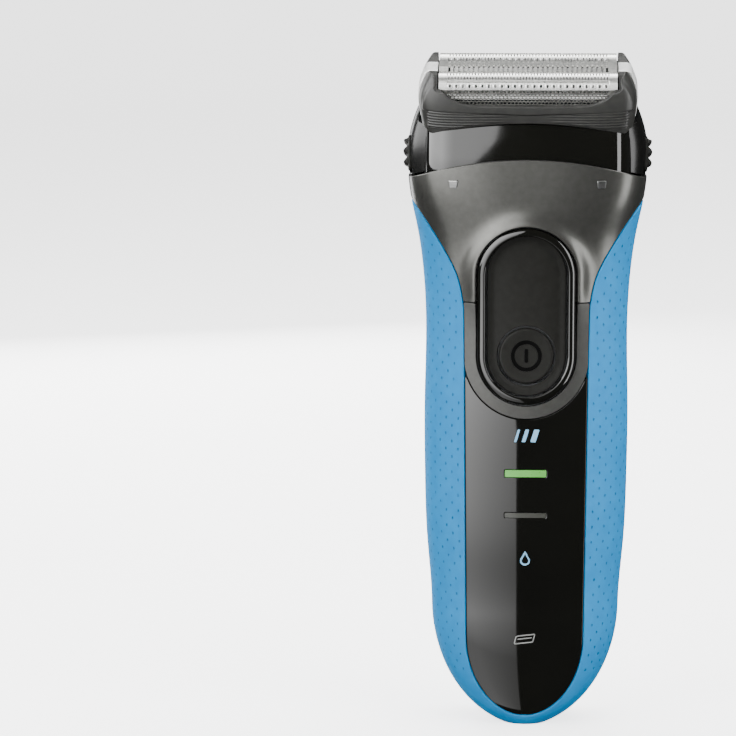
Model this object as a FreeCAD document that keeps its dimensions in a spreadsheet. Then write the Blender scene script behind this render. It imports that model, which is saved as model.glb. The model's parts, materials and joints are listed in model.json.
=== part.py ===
import math
import os

import FreeCAD
import Part
from FreeCAD import Placement, Rotation, Vector

# Foil shaver for wet and dry use, in millimetres. +Z runs from the foot up to the shaving head,
# the front (switch side) faces -Y, and the origin is the middle of the flat foot.
# The head is canted forward about X. Its parts are modelled in head coordinates, where X is the
# same, local Y runs from front to back of the head and local Z runs up through the foils.

doc = FreeCAD.newDocument("foil_shaver")
dims = doc.addObject("Spreadsheet::Sheet", "dims")

DIMENSIONS = {
    # handle: lower end, an ellipse in front view that is cut off flat at the foot
    "toe_half_width": 23.0, "toe_height": 31.0, "toe_trim": 1.2, "toe_front": 14.0, "toe_back": 15.0,
    "toe_fullness": 0.35, "handle_roundness": 2.3, "flare_roundness": 2.6, "shoulder_roundness": 3.3,
    "brow_roundness": 3.7, "crown_roundness": 3.8,
    # handle: stations above the toe, each with level, half width, front depth and back depth
    "calf_level": 45.5, "calf_half_width": 24.2, "calf_front": 14.8, "calf_back": 15.9,
    "belly_level": 62.0, "belly_half_width": 24.8, "belly_front": 15.2, "belly_back": 16.4,
    "waist_level": 80.0, "waist_half_width": 24.9, "waist_front": 15.0, "waist_back": 16.4,
    "thumb_level": 99.0, "thumb_half_width": 24.6, "thumb_front": 14.0, "thumb_back": 15.8,
    "neck_level": 112.0, "neck_half_width": 25.3, "neck_front": 14.2, "neck_back": 15.5,
    "flare_level": 122.0, "flare_half_width": 26.7, "flare_front": 15.1, "flare_back": 15.9,
    "shoulder_level": 130.0, "shoulder_half_width": 28.3, "shoulder_front": 16.0, "shoulder_back": 16.3,
    "brow_level": 137.0, "brow_half_width": 29.0, "brow_front": 16.4, "brow_back": 16.3,
    "crown_level": 143.0, "crown_half_width": 29.0, "crown_front": 16.4, "crown_back": 15.9,
    "arch_middle": 139.8, "arch_end": 135.1, "arch_half_span": 28.5,
    # skin layers, measured inwards from the outer surface
    "skin": 1.6, "layer_gap": 0.1, "wall": 1.8, "panel_gap": 0.12, "seal_inset": 2.35, "seal_width": 0.5,
    "seal_depth": 0.75,
    # front window of the grip, in front view
    "window_top": 133.0, "window_top_half": 31.0, "window_slope_level": 124.0, "window_slope_half": 24.2,
    "window_mid_level": 116.8, "window_mid_half": 19.6, "window_bend_level": 110.6,
    "window_bend_half": 16.6, "window_side_level": 103.6, "window_side_half": 15.2,
    "window_low_half": 14.4, "window_low_level": 22.5, "window_bottom": 4.0,
    "rear_low_half": 12.6, "rear_low_level": 44.0, "rear_bottom": 31.0, "rear_seam_level": 107.0,
    # switch area
    "switch_level": 92.3, "switch_top_level": 111.8, "ring_radius": 12.0, "pad_radius": 9.6,
    "bezel_radius": 15.2, "seam_level": 105.0, "pad_drop": 0.9, "ring_rise": 0.5,
    "button_radius": 6.8, "button_face": 13.75, "button_back": 12.4,
    "button_stem_radius": 1.4, "button_stem_end": 10.85, "button_pocket": 11.7, "symbol_radius": 3.5,
    "symbol_line": 0.55, "symbol_depth": 0.3, "symbol_bar": 3.4,
    "catch_half_spacing": 17.8, "catch_level": 133.9, "catch_width": 2.1, "catch_height": 1.6,
    # status lights in the lower panel
    "light_half_width": 5.0, "charge_light_level": 63.7, "charge_light_height": 1.7,
    "low_light_level": 53.4, "low_light_height": 1.2, "renew_light_level": 22.5,
    "renew_light_height": 3.4, "renew_light_half_width": 2.9, "light_guide_back": 9.6,
    # circuit board and its parts
    "board_front": 8.6, "board_thickness": 1.2, "board_half_width": 13.0, "board_bottom": 18.0,
    "board_top": 99.0, "boss_half_spacing": 9.5, "boss_level": 78.0, "yoke_screw_half_spacing": 18.5,
    "yoke_screw_level": 125.0, "boss_radius": 2.6, "screw_radius": 1.1, "screw_hole_radius": 1.2,
    "screw_head_radius": 2.0, "screw_head_height": 1.3,
    # cells
    "cell_radius": 7.0, "cell_length": 49.0, "cell_bottom": 24.0, "cell_spacing": 14.6, "cell_depth": 2.6,
    # motor
    "motor_radius": 10.0, "motor_bottom": 102.0, "motor_length": 26.0, "motor_wall": 0.9, "motor_y": 0.5,
    "shaft_radius": 1.0, "shaft_clearance": 0.05, "shaft_top": 134.0, "shaft_bottom": 100.6,
    "stroke": 1.0, "eccentric_radius": 4.2, "eccentric_bottom": 130.6, "eccentric_height": 2.2,
    "crank_radius": 1.2, "crank_height": 2.6,
    # head frame: origin of head coordinates and forward cant in degrees
    "head_y": -3.0, "head_level": 149.6, "cant": 18.0,
    # cassette, in head coordinates: stations of the outside, each with level, half length, half depth
    "skirt_level": -0.5, "skirt_half_length": 25.2, "skirt_half_depth": 10.4,
    "flank_level": 3.0, "flank_half_length": 25.75, "flank_half_depth": 10.8,
    "widest_level": 6.5, "widest_half_length": 26.0, "widest_half_depth": 10.9,
    "rim_level": 9.5, "rim_half_length": 25.4, "rim_half_depth": 10.5,
    "horn_level": 12.0, "horn_half_length": 24.2, "horn_half_depth": 9.9,
    "tip_level": 14.2, "tip_half_length": 22.9, "tip_half_depth": 9.0, "cassette_roundness": 7.0,
    "cavity_half_length": 21.65, "cavity_half_depth": 9.45, "cavity_floor": 3.9,
    "smile_middle": 6.5, "smile_shoulder": 7.3, "smile_shoulder_half": 16.5, "smile_end": 8.9,
    "smile_end_half": 19.5, "smile_tip": 13.4, "smile_tip_half": 21.7,
    "seat_half_length": 24.8, "seat_rise": 2.7, "seat_gap": 0.15,
    "collar_half_length": 21.7, "collar_half_depth": 7.2, "collar_wall": 1.5, "collar_bottom": -3.5,
    "floor_level": 1.2, "floor_thickness": 1.0, "rib_count": 6, "rib_pitch": 0.85, "rib_length": 9.0,
    "rib_height": 0.35, "band_half_width": 2.9, "band_thickness": 0.4,
    # foils
    "foil_pitch": 6.2, "foil_half_width": 2.95, "foil_crest": 13.4, "foil_arch": 3.0, "foil_foot": 7.0,
    "foil_half_length": 21.3, "foil_sheet": 0.2, "foil_end": 19.6,
    "foil_plug_bottom": 6.2, "rail_height": 1.2, "rail_bottom": 7.6, "rail_thickness": 0.55,
    # cutters
    "cutter_gap": 0.12, "blade_half_span": 16.8, "blade_count": 27, "blade_thickness": 0.3,
    "blade_foot": 8.95, "carrier_bottom": 7.6, "carrier_height": 1.4, "carrier_half_length": 17.8,
    "carrier_half_width": 1.95, "hollow_half_width": 1.5,
    "comb_half_width": 2.3, "comb_top": 13.3, "comb_half_length": 21.35, "comb_bottom": 8.2,
    "comb_wall": 0.45, "comb_slots": 33, "comb_pitch": 1.18, "comb_slot_width": 0.5,
    "comb_slot_depth": 1.7, "comb_spine": 0.8,
    "slider_bottom": 4.2, "slider_height": 1.2, "slider_half_length": 18.0, "slider_half_depth": 7.2,
    "post_half_spacing": 8.0, "post_radius": 0.8, "post_top": 8.3, "spring_radius": 0.75,
    # head base: stations of the middle block and of the side arms
    "block_half_width": 24.9, "block_corner": 6.8,
    "root_level": 131.0, "root_front": 14.2, "root_back": 14.2,
    "chin_level": 139.0, "chin_front": 14.6, "chin_back": 14.2,
    "lip_level": 146.0, "lip_front": 13.4, "lip_back": 11.9,
    "peak_level": 157.0, "peak_front": 10.4, "peak_back": 7.0,
    "arm_low_level": 131.0, "arm_low_half_width": 28.2, "arm_low_front": 11.0, "arm_low_back": 11.0,
    "arm_mid_level": 138.0, "arm_mid_half_width": 28.9, "arm_mid_front": 11.5, "arm_mid_back": 10.6,
    "arm_high_level": 144.0, "arm_high_half_width": 28.8, "arm_high_front": 12.0, "arm_high_back": 9.0,
    "arm_ear_level": 149.0, "arm_ear_half_width": 27.6, "arm_ear_front": 11.6, "arm_ear_back": 6.4,
    "arm_end_level": 153.5, "arm_end_half_width": 25.8, "arm_end_front": 10.0, "arm_end_back": 4.0,
    "arm_roundness": 3.2, "arm_root": 22.0, "arm_inner": 26.3, "pane_thickness": 1.2, "pane_depth": 4.5,
    "pane_hollow_half": 18.0,
    "well_floor": -4.0, "well_floor_thickness": 1.5, "well_gap": 0.3,
    "release_level": 140.2, "release_half_height": 4.3, "release_half_depth": 5.4, "release_rise": 0.8,
    "release_back": 24.6, "release_y": 0.5, "release_pocket": 23.05,
    "release_bore_radius": 1.8, "release_bore_end": 27.4, "release_grooves": 3,
    # drive
    "bridge_bottom": 136.2, "bridge_height": 3.0, "bridge_half_length": 9.0, "bridge_half_depth": 4.4,
    "stem_radius": 1.7, "stem_clearance": 0.35, "stem_top": 5.2, "stem_root": -12.5,
    # power socket in the foot
    "socket_half_width": 3.9, "socket_half_depth": 2.6, "socket_wall": 0.9, "socket_base": 9.5,
    "socket_top": 12.0, "socket_sink": 0.3, "contact_radius": 0.9, "contact_tip": 4.8,
    "contact_half_spacing": 2.0, "contact_tail_radius": 0.7,
}
for row, (alias, value) in enumerate(DIMENSIONS.items(), start=1):
    dims.set(f"A{row}", alias)
    dims.set(f"B{row}", str(value))
    dims.setAlias(f"B{row}", alias)
doc.recompute()


def dim(alias):
    """A driving dimension's value, read from the sheet."""
    return float(dims.get(alias))


HEAD = Placement(Vector(0, dim("head_y"), dim("head_level")), Rotation(Vector(1, 0, 0), dim("cant")))
FAR = 60.0  # reach of construction tools beyond the body
nodes = {}  # label -> document object that is written out


# ---------------------------------------------------------------- helpers
def bind(obj, prop, value):
    """Sets a property to a number, or binds it to an expression given as text."""
    if isinstance(value, str):
        obj.setExpression(prop, value)
    else:
        parent, _, last = prop.rpartition(".")
        if parent:
            obj.setExpression(prop, repr(float(value)))
        else:
            setattr(obj, last, value)


def place(obj, x, y, z):
    for axis, value in zip("xyz", (x, y, z)):
        bind(obj, f".Placement.Base.{axis}", value)


def box(name, centre_x, centre_y, bottom, length, width, height):
    """A box centred on X and Y that stands on bottom. Sizes are numbers or expressions."""
    obj = doc.addObject("Part::Box", name)
    bind(obj, "Length", length)
    bind(obj, "Width", width)
    bind(obj, "Height", height)
    place(obj, f"{centre_x} - ({length}) / 2", f"{centre_y} - ({width}) / 2", f"{bottom}")
    return obj


def cylinder(name, radius, height, x, y, z, axis=None):
    """A cylinder that starts at (x, y, z) and runs along Z, or along the given axis."""
    obj = doc.addObject("Part::Cylinder", name)
    bind(obj, "Radius", radius)
    bind(obj, "Height", height)
    if axis is not None:
        obj.Placement = Placement(Vector(), Rotation(Vector(0, 0, 1), axis))
    place(obj, f"{x}", f"{y}", f"{z}")
    return obj


def solid_feature(name, shape):
    obj = doc.addObject("Part::Feature", name)
    obj.Shape = shape
    return obj


def joined(kind, name, base, tools):
    obj = doc.addObject(kind, name)
    if kind == "Part::MultiFuse":
        obj.Shapes = [base, *tools]
    elif kind == "Part::MultiCommon":
        obj.Shapes = [base, *tools]
    else:
        obj.Base, obj.Tool = base, tools[0]
    return obj


def fuse(name, *parts):
    return joined("Part::MultiFuse", name, parts[0], parts[1:])


def common(name, *parts):
    return joined("Part::MultiCommon", name, parts[0], parts[1:])


def cut(name, base, *tools):
    tool = tools[0] if len(tools) == 1 else fuse(name + "_tools", *tools)
    return joined("Part::Cut", name, base, [tool])


def group(name, *parts):
    """Separate solids that share one node."""
    obj = doc.addObject("Part::Compound", name)
    obj.Links = list(parts)
    return obj


def mirrored(name, source):
    """The same shape on the other side of the middle plane."""
    twin = doc.addObject("Part::Mirroring", name)
    twin.Source, twin.Normal = source, Vector(1, 0, 0)
    return twin


def node(label, obj, placement=None):
    """Registers an object as a sub-part, under the name a person would use."""
    obj.Label = label
    if placement is not None:
        obj.Placement = placement
    nodes[label] = obj
    return obj


def plane_of(body, role):
    return next(f for f in body.Origin.OriginFeatures if f.Role == role)


def sketch_on(body, role, name, offset=None):
    sketch = body.newObject("Sketcher::SketchObject", name)
    sketch.AttachmentSupport = [(plane_of(body, role), "")]
    sketch.MapMode = "FlatFace"
    if offset is not None:
        bind(sketch, ".AttachmentOffset.Base.z", offset)
    return sketch


def polygon(sketch, corners):
    """A closed outline whose corners are bound to expressions, each an (across, up) pair."""
    import Sketcher

    values = [[float(sketch.evalExpression(f"({c}) + 0.0")) for c in corner] for corner in corners]
    points = [Vector(a, b, 0) for a, b in values]
    first = sketch.GeometryCount
    for i, start in enumerate(points):
        sketch.addGeometry(Part.LineSegment(start, points[(i + 1) % len(points)]), False)
    for i in range(len(points)):
        after = first + (i + 1) % len(points)
        sketch.addConstraint(Sketcher.Constraint("Coincident", first + i, 2, after, 1))
    for i, (corner, value) in enumerate(zip(corners, values)):
        for kind, expression, number in zip(("DistanceX", "DistanceY"), corner, value):
            index = sketch.addConstraint(Sketcher.Constraint(kind, -1, 1, first + i, 1, number))
            sketch.setExpression(f"Constraints[{index}]", f"{expression}")


def circle(sketch, across, up, radius):
    import Sketcher

    numbers = [float(sketch.evalExpression(f"({v}) + 0.0")) for v in (across, up, radius)]
    index = sketch.GeometryCount
    sketch.addGeometry(Part.Circle(Vector(numbers[0], numbers[1], 0), Vector(0, 0, 1), numbers[2]), False)
    pairs = (("DistanceX", across, numbers[0]), ("DistanceY", up, numbers[1]))
    for kind, expression, number in pairs:
        where = sketch.addConstraint(Sketcher.Constraint(kind, -1, 1, index, 3, number))
        sketch.setExpression(f"Constraints[{where}]", f"{expression}")
    where = sketch.addConstraint(Sketcher.Constraint("Radius", index, numbers[2]))
    sketch.setExpression(f"Constraints[{where}]", f"{radius}")


def padded(name, role, outline, length, offset=None, holes=(), midplane=False):
    """A PartDesign body: one outline of corners or one circle, with round holes, padded."""
    body = doc.addObject("PartDesign::Body", name)
    sketch = sketch_on(body, role, name + "_sketch", offset)
    if len(outline) == 3 and not isinstance(outline[0], tuple):
        circle(sketch, *outline)
    else:
        polygon(sketch, outline)
    for hole in holes:
        circle(sketch, *hole)
    pad = body.newObject("PartDesign::Pad", name + "_pad")
    pad.Profile = sketch
    bind(pad, "Length", length)
    if midplane:
        pad.SideType = "Symmetric"
    body.Tip = pad
    return body


def turned(name, corners):
    """A PartDesign body turned about its own Z axis. Corners are (radius, level) pairs."""
    body = doc.addObject("PartDesign::Body", name)
    sketch = sketch_on(body, "XZ_Plane", name + "_sketch")
    polygon(sketch, corners)
    turn = body.newObject("PartDesign::Revolution", name + "_turn")
    turn.Profile = sketch
    turn.ReferenceAxis = (sketch, ["V_Axis"])
    turn.Angle = 360
    body.Tip = turn
    return body


# ---------------------------------------------------------------- handle skin surfaces
def ring_wire(level, half_width, front, back, roundness, points=28):
    """A closed smooth section: a superellipse whose front and back halves have their own depth."""
    corners = []
    for i in range(points):
        angle = 2 * math.pi * i / points
        across, along = math.cos(angle), math.sin(angle)
        power = 2 / roundness
        x = half_width * math.copysign(abs(across) ** power, across)
        depth = back if along > 0 else front
        corners.append(Vector(x, depth * math.copysign(abs(along) ** power, along), level))
    curve = Part.BSplineCurve()
    curve.interpolate(corners, PeriodicFlag=True)
    return Part.Wire([curve.toShape()])


TOE_STEPS = 8
LOWER_STATIONS = ("calf", "belly", "waist", "thumb", "neck")
UPPER_STATIONS = ("flare", "shoulder", "brow", "crown")


def handle_solid(name, inset):
    """The handle's outer shape, or the same shape a constant inset further in."""
    roundness = dim("handle_roundness")
    height = dim("toe_height") - inset
    first = math.acos(1 - dim("toe_trim") / dim("toe_height"))
    wires = []
    for step in range(TOE_STEPS + 1):
        angle = first + (math.pi / 2 - first) * step / TOE_STEPS
        level = height * (1 - math.cos(angle)) + inset - dim("toe_trim") * height / dim("toe_height")
        fullness = math.sin(angle) ** dim("toe_fullness")
        half_width = (dim("toe_half_width") - inset) * math.sin(angle)
        front, back = ((dim(f"toe_{side}") - inset) * fullness for side in ("front", "back"))
        wires.append(ring_wire(level, half_width, front, back, roundness))
    for station in LOWER_STATIONS + UPPER_STATIONS:
        sizes = [dim(f"{station}_{part}") - inset for part in ("half_width", "front", "back")]
        power = dim(f"{station}_roundness") if station in UPPER_STATIONS else roundness
        wires.append(ring_wire(dim(f"{station}_level"), *sizes, power))
    return solid_feature(name, Part.makeLoft(wires, True, False))


def stack_solid(name, stations, parts, roundness, grow=0.0):
    """A smooth solid through stations of the sheet. Parts name the half width, front and back."""
    wires = []
    for station, power in zip(stations, roundness):
        sizes = [dim(f"{station}_{part}") + grow for part in parts]
        wires.append(ring_wire(dim(f"{station}_level"), *sizes, power))
    return solid_feature(name, Part.makeLoft(wires, True, False))


def front_prism(name, edges, near, far):
    """A prism along Y over a front-view outline, from y = near to y = far."""
    wire = Part.Wire(Part.__sortEdges__(edges))
    face = Part.Face(wire)
    face.translate(Vector(0, near, 0))
    return solid_feature(name, face.extrude(Vector(0, far - near, 0)))


def at_front(x, z):
    return Vector(x, 0, z)


def window_edges(low_half, low_level, bottom, grow=0.0):
    """Front-view outline of the opening in the grip: wide shoulders, straight sides, round end."""
    def side(sign):
        upper = Part.BSplineCurve()
        names = ("slope", "mid", "bend")
        points = [at_front(sign * (dim("window_top_half") + grow), dim("window_top"))]
        for item in names:
            half = dim(f"window_{item}_half") + grow
            points.append(at_front(sign * half, dim(f"window_{item}_level")))
        side_half = min(dim("window_side_half"), low_half + 0.8) + grow
        points.append(at_front(sign * side_half, dim("window_side_level")))
        upper.interpolate(points)
        foot = at_front(sign * (low_half + grow), low_level)
        return [upper.toShape(), Part.LineSegment(points[-1], foot).toShape()], points[0], foot

    right, right_top, right_foot = side(1)
    left, left_top, left_foot = side(-1)
    half, drop = low_half + grow, low_level - bottom + grow
    centre = at_front(0, low_level)
    if half >= drop:
        ellipse = Part.Ellipse(at_front(half, low_level), at_front(0, low_level - drop), centre)
    else:
        ellipse = Part.Ellipse(at_front(0, low_level - drop), at_front(half, low_level), centre)
    start, end = ellipse.parameter(left_foot), ellipse.parameter(right_foot)
    lower = ellipse.toShape(min(start, end), max(start, end))
    middle = lower.valueAt((lower.FirstParameter + lower.LastParameter) / 2)
    if middle.z > low_level:
        lower = ellipse.toShape(max(start, end), min(start, end) + 2 * math.pi)
    roof = dim("crown_level") + 5
    corners = [right_top, at_front(right_top.x, roof), at_front(left_top.x, roof), left_top]
    cap = [Part.LineSegment(a, b).toShape() for a, b in zip(corners, corners[1:])]
    return right + left + [lower] + cap


def side_prism(name, points, near, far):
    """A prism along X, from near to far, over (depth, level) corners."""
    corners = [Vector(near, y, z) for y, z in points]
    face = Part.Face(Part.makePolygon(corners + corners[:1]))
    return solid_feature(name, face.extrude(Vector(far - near, 0, 0)))


def racetrack_edges(radius, low, high):
    arcs = []
    for level, turn in ((high, 1), (low, -1)):
        arcs.append(Part.Arc(at_front(radius, level), at_front(0, level + turn * radius),
                             at_front(-radius, level)).toShape())
    sides = [Part.LineSegment(at_front(s * radius, low), at_front(s * radius, high)).toShape()
             for s in (-1, 1)]
    return arcs + sides


def racetrack(name, radius, near, far):
    return front_prism(name, racetrack_edges(radius, dim("switch_level"), dim("switch_top_level")), near, far)


def below_arch(name, drop):
    """Everything below the arched top edge of the shoulder, lowered by drop."""
    middle, end, span = dim("arch_middle") - drop, dim("arch_end") - drop, dim("arch_half_span")
    arc = Part.Arc(at_front(-span, end), at_front(0, middle), at_front(span, end)).toShape()
    outline = [(span, end), (FAR, end), (FAR, -5), (-FAR, -5), (-FAR, end), (-span, end)]
    lines = [Part.LineSegment(at_front(*a), at_front(*b)).toShape() for a, b in zip(outline, outline[1:])]
    return front_prism(name, [arc] + lines, -FAR, FAR)


def bezel_tool(name, grow):
    """Front-view area of the switch bezel: a strip that ends in an arc around the ring."""
    radius, centre, top = dim("bezel_radius") + grow, dim("switch_level"), dim("seam_level")
    ends = at_front(-radius, centre), at_front(0, centre - radius), at_front(radius, centre)
    arc = Part.Arc(*ends).toShape()
    outline = [(radius, centre), (radius + 4, centre), (radius + 4, top), (-radius - 4, top),
               (-radius - 4, centre), (-radius, centre)]
    lines = [Part.LineSegment(at_front(*a), at_front(*b)).toShape() for a, b in zip(outline, outline[1:])]
    return front_prism(name, [arc] + lines, -FAR, 0)


skin, gap, wall = dim("skin"), dim("layer_gap"), dim("wall")
outer = handle_solid("handle_outer", 0.0)
skin_core = handle_solid("handle_skin_core", skin)
housing_outer = handle_solid("handle_housing_outer", skin + gap)
housing_core = handle_solid("handle_housing_core", skin + gap + wall)
front_window = front_prism("front_window", window_edges(
    dim("window_low_half"), dim("window_low_level"), dim("window_bottom")), -FAR, 0.0)
front_panels = front_prism("front_panels", window_edges(
    dim("window_low_half"), dim("window_low_level"), dim("window_bottom"), -dim("panel_gap")), -FAR, -0.05)
rear_window = front_prism("rear_window", window_edges(
    dim("rear_low_half"), dim("rear_low_level"), dim("rear_bottom")), 0.0, FAR)
rear_panels = front_prism("rear_panels", window_edges(
    dim("rear_low_half"), dim("rear_low_level"), dim("rear_bottom"), -dim("panel_gap")), 0.05, FAR)
shoulder_limit = below_arch("shoulder_limit", 0.0)
housing_limit = below_arch("housing_limit", 4.0)
skin_shell = cut("skin_shell", outer, skin_core)
ring_hole = racetrack("ring_hole", dim("ring_radius") + dim("panel_gap"), -FAR, 0.0)

socket_hole = box("socket_hole", "0", "0", "-1", "2 * (dims.socket_half_width + dims.socket_wall + 0.1)",
                  "2 * (dims.socket_half_depth + dims.socket_wall + 0.1)", "dims.socket_top + 1.2")
grip = cut("grip", skin_shell, front_window, rear_window, socket_hole)
node("grip_sleeve", grip)

# ---------------------------------------------------------------- front and rear panels
upper_zone = box("upper_zone", "0", "0", "dims.seam_level + dims.panel_gap", 2 * FAR, 2 * FAR, FAR)
front_skin = common("front_skin", skin_shell, front_panels, shoulder_limit)


def catch_boxes(name, grow):
    """The places of the two small metal catches that the protective cap clips to."""
    return fuse(name, *[
        box(f"{name}_{side}", f"{sign} * dims.catch_half_spacing", "-15",
            f"dims.catch_level - dims.catch_height / 2 - {grow}", f"dims.catch_width + {2 * grow}", "10",
            f"dims.catch_height + {2 * grow}")
        for side, sign in (("left", -1), ("right", 1))])


catch_seats = catch_boxes("catch_seats", 0.12)
shoulder = cut("shoulder", common("shoulder_skin", front_skin, upper_zone), ring_hole, catch_seats)
node("cap_catches", common("catches", catch_boxes("catch_blanks", 0.0), skin_shell))
bezel_zone = bezel_tool("bezel_zone", 0.0)
node("switch_bezel", cut("bezel", common("bezel_skin", front_skin, bezel_zone), ring_hole))
bezel_clear = bezel_tool("bezel_clear", dim("panel_gap"))
lower_zone = box("lower_zone", "0", "0", "-5", 2 * FAR, 2 * FAR, "dims.switch_level + 5")


def light_box(name, level, height, half, grow):
    return box(name, "0", "-dims.light_guide_back - 8", f"{level} - ({height}) / 2 - {grow}",
               f"2 * ({half} + {grow})", "16", f"{height} + {2 * grow}")


LIGHTS = (
    ("charge_light_guide", "dims.charge_light_level", "dims.charge_light_height", "dims.light_half_width"),
    ("low_charge_light_guide", "dims.low_light_level", "dims.low_light_height", "dims.light_half_width"),
    ("renew_light_guide", "dims.renew_light_level", "dims.renew_light_height",
     "dims.renew_light_half_width"),
)
light_holes = fuse("light_holes", *[light_box(n + "_hole", *sizes, 0.1) for n, *sizes in LIGHTS])
node("lower_panel", cut("lower", common("lower_skin", front_skin, lower_zone), bezel_clear, light_holes))
for name, *sizes in LIGHTS:
    node(name, common(name + "_solid", light_box(name + "_box", *sizes, 0.0), outer))

rear_skin = common("rear_skin", skin_shell, rear_panels, shoulder_limit)
rear_upper = box("rear_upper", "0", "0", "dims.rear_seam_level + dims.panel_gap", 2 * FAR, 2 * FAR, FAR)
rear_lower = box("rear_lower", "0", "0", "0", 2 * FAR, 2 * FAR, "dims.rear_seam_level")
rear_yoke = common("rear_yoke_skin", rear_skin, rear_upper)
node("rear_cover", common("rear_cover_skin", rear_skin, rear_lower))

# ---------------------------------------------------------------- structural housing and its seal
housing_shell = common("housing_shell", cut("housing_walls", housing_outer, housing_core), housing_limit)
half_front = box("half_front", "0", -FAR / 2, "-5", 2 * FAR, FAR, 3 * FAR)
half_rear = box("half_rear", "0", FAR / 2 + 0.05, "-5", 2 * FAR, FAR, 3 * FAR)
seal_groove = cut("seal_groove", handle_solid("seal_outer", dim("seal_inset")),
                  handle_solid("seal_core", dim("seal_inset") + dim("seal_width")))
seal_zone = box("seal_zone", "0", "-dims.seal_depth / 2", "6", 2 * FAR, "dims.seal_depth", "122")
seal_body = common("seal_body", seal_groove, seal_zone)
button_pocket = cylinder("button_pocket", "dims.button_radius + 0.4", "8", 0, "-dims.button_pocket",
                         "dims.switch_level", Vector(0, -1, 0))
stem_hole = cylinder("stem_hole", "dims.button_stem_radius + 0.5", "10", 0, "-6", "dims.switch_level",
                     Vector(0, -1, 0))


def screw_places():
    """(x expression, level expression) of each rear screw."""
    pairs = (("boss_half_spacing", "boss_level"), ("yoke_screw_half_spacing", "yoke_screw_level"))
    return [(f"{sign} * dims.{x}", f"dims.{z}") for x, z in pairs for sign in (-1, 1)]


BACK, FORTH = Vector(0, 1, 0), Vector(0, -1, 0)
front_bosses = [cut(f"front_boss_{i}",
                    cylinder(f"front_boss_post_{i}", "dims.boss_radius", "12", x, 0, z, FORTH),
                    cylinder(f"front_boss_bore_{i}", "dims.screw_hole_radius", "7", x, 0.1, z, FORTH))
                for i, (x, z) in enumerate(screw_places())]
front_boss_solids = common("front_boss_solids", fuse("front_boss_all", *front_bosses), housing_outer)
guide_slots = [light_box(f"guide_slot_{i}", *sizes, 0.15) for i, (_, *sizes) in enumerate(LIGHTS)]
front_holes = fuse("front_holes", button_pocket, stem_hole, socket_hole, *guide_slots)
front_half = fuse("front_half", common("front_shell", housing_shell, half_front), front_boss_solids)
node("front_housing", cut("front_housing_cut", front_half, front_holes, seal_body))
seal_loop = cut("seal_loop", handle_solid("seal_strip_outer", dim("seal_inset") + 0.04),
                handle_solid("seal_strip_core", dim("seal_inset") + dim("seal_width") - 0.04))
seal_span = box("seal_span", "0", "-dims.seal_depth / 2 + 0.03", "6.1", 2 * FAR,
                "dims.seal_depth - 0.06", "121.8")
node("housing_seal", common("seal_strips", seal_loop, seal_span))
rear_bosses = [cylinder(f"rear_boss_{i}", "dims.boss_radius", "14", x, 0.1, z, BACK)
               for i, (x, z) in enumerate(screw_places())]
rear_boss_solids = common("rear_boss_solids", fuse("rear_boss_all", *rear_bosses), housing_outer)
rear_drills = [cylinder(f"rear_drill_{i}", "dims.screw_hole_radius", "30", x, -1, z, BACK)
               for i, (x, z) in enumerate(screw_places())]
rear_sinks = [cylinder(f"rear_sink_{i}", "dims.screw_head_radius + 0.2", "20", x, "10", z, BACK)
              for i, (x, z) in enumerate(screw_places())]
node("rear_housing", cut("rear_housing_cut", fuse("rear_half", common("rear_shell", housing_shell, half_rear),
                                                  rear_boss_solids), socket_hole, *rear_drills, *rear_sinks))


def screw(name, length):
    """A pan head screw along its own Z, with the head on top of the origin plane."""
    return turned(name, [(0, f"-({length})"), ("dims.screw_radius", f"-({length})"),
                         ("dims.screw_radius", 0), ("dims.screw_head_radius", 0),
                         ("dims.screw_head_radius", "dims.screw_head_height * 0.5"),
                         ("dims.screw_head_radius * 0.7", "dims.screw_head_height"),
                         ("0", "dims.screw_head_height")])


rear_screw_list = []
for i, (x, z) in enumerate(screw_places()):
    body = screw(f"rear_screw_{i}", "14.5")
    body.Placement = Placement(Vector(), Rotation(Vector(0, 0, 1), BACK))
    place(body, x, 10.05, z)
    rear_screw_list.append(body)
node("rear_screws", group("rear_screw_set", *rear_screw_list))

# ---------------------------------------------------------------- switch
ring_band = cut("ring_band", racetrack("ring_outline", dim("ring_radius"), -FAR, 0),
                racetrack("ring_inside", dim("pad_radius") + 0.05, -FAR, 1))
ring_crown = handle_solid("ring_crown", -dim("ring_rise"))
node("switch_ring", cut("ring_trim", common("ring_rough", ring_band, ring_crown),
                        handle_solid("ring_base", skin + gap - 0.05)))
button_clear = cylinder("button_clear", "dims.button_radius + 0.2", "12", 0, "-8", "dims.switch_level", FORTH)
pad_rough = common("pad_rough", racetrack("pad_outline", dim("pad_radius") - 0.05, -FAR, 0),
                   handle_solid("pad_crown", dim("pad_drop")))
node("switch_pad", cut("pad_trim", pad_rough, handle_solid("pad_base", skin + gap - 0.05), button_clear))

button_disc = padded("button_disc", "XZ_Plane", ("0", "dims.switch_level", "dims.button_radius"),
                     "dims.button_face - dims.button_back", offset="dims.button_back")
button_stem = padded("button_stem", "XZ_Plane", ("0", "dims.switch_level", "dims.button_stem_radius"),
                     "dims.button_back - dims.button_stem_end + 0.1", offset="dims.button_stem_end")
symbol_out = cylinder("symbol_out", "dims.symbol_radius + dims.symbol_line / 2", "2", 0,
                      "-dims.button_face + dims.symbol_depth", "dims.switch_level", FORTH)
symbol_in = cylinder("symbol_in", "dims.symbol_radius - dims.symbol_line / 2", "4", 0,
                     "-dims.button_face + 1", "dims.switch_level", FORTH)
symbol_ring = cut("symbol_ring", symbol_out, symbol_in)
symbol_bar = box("symbol_bar", "0", "-dims.button_face - 1 + dims.symbol_depth",
                 "dims.switch_level - dims.symbol_bar / 2",
                 "dims.symbol_line", "2", "dims.symbol_bar")
node("power_button", cut("button", fuse("button_body", button_disc, button_stem), symbol_ring, symbol_bar))
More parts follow.
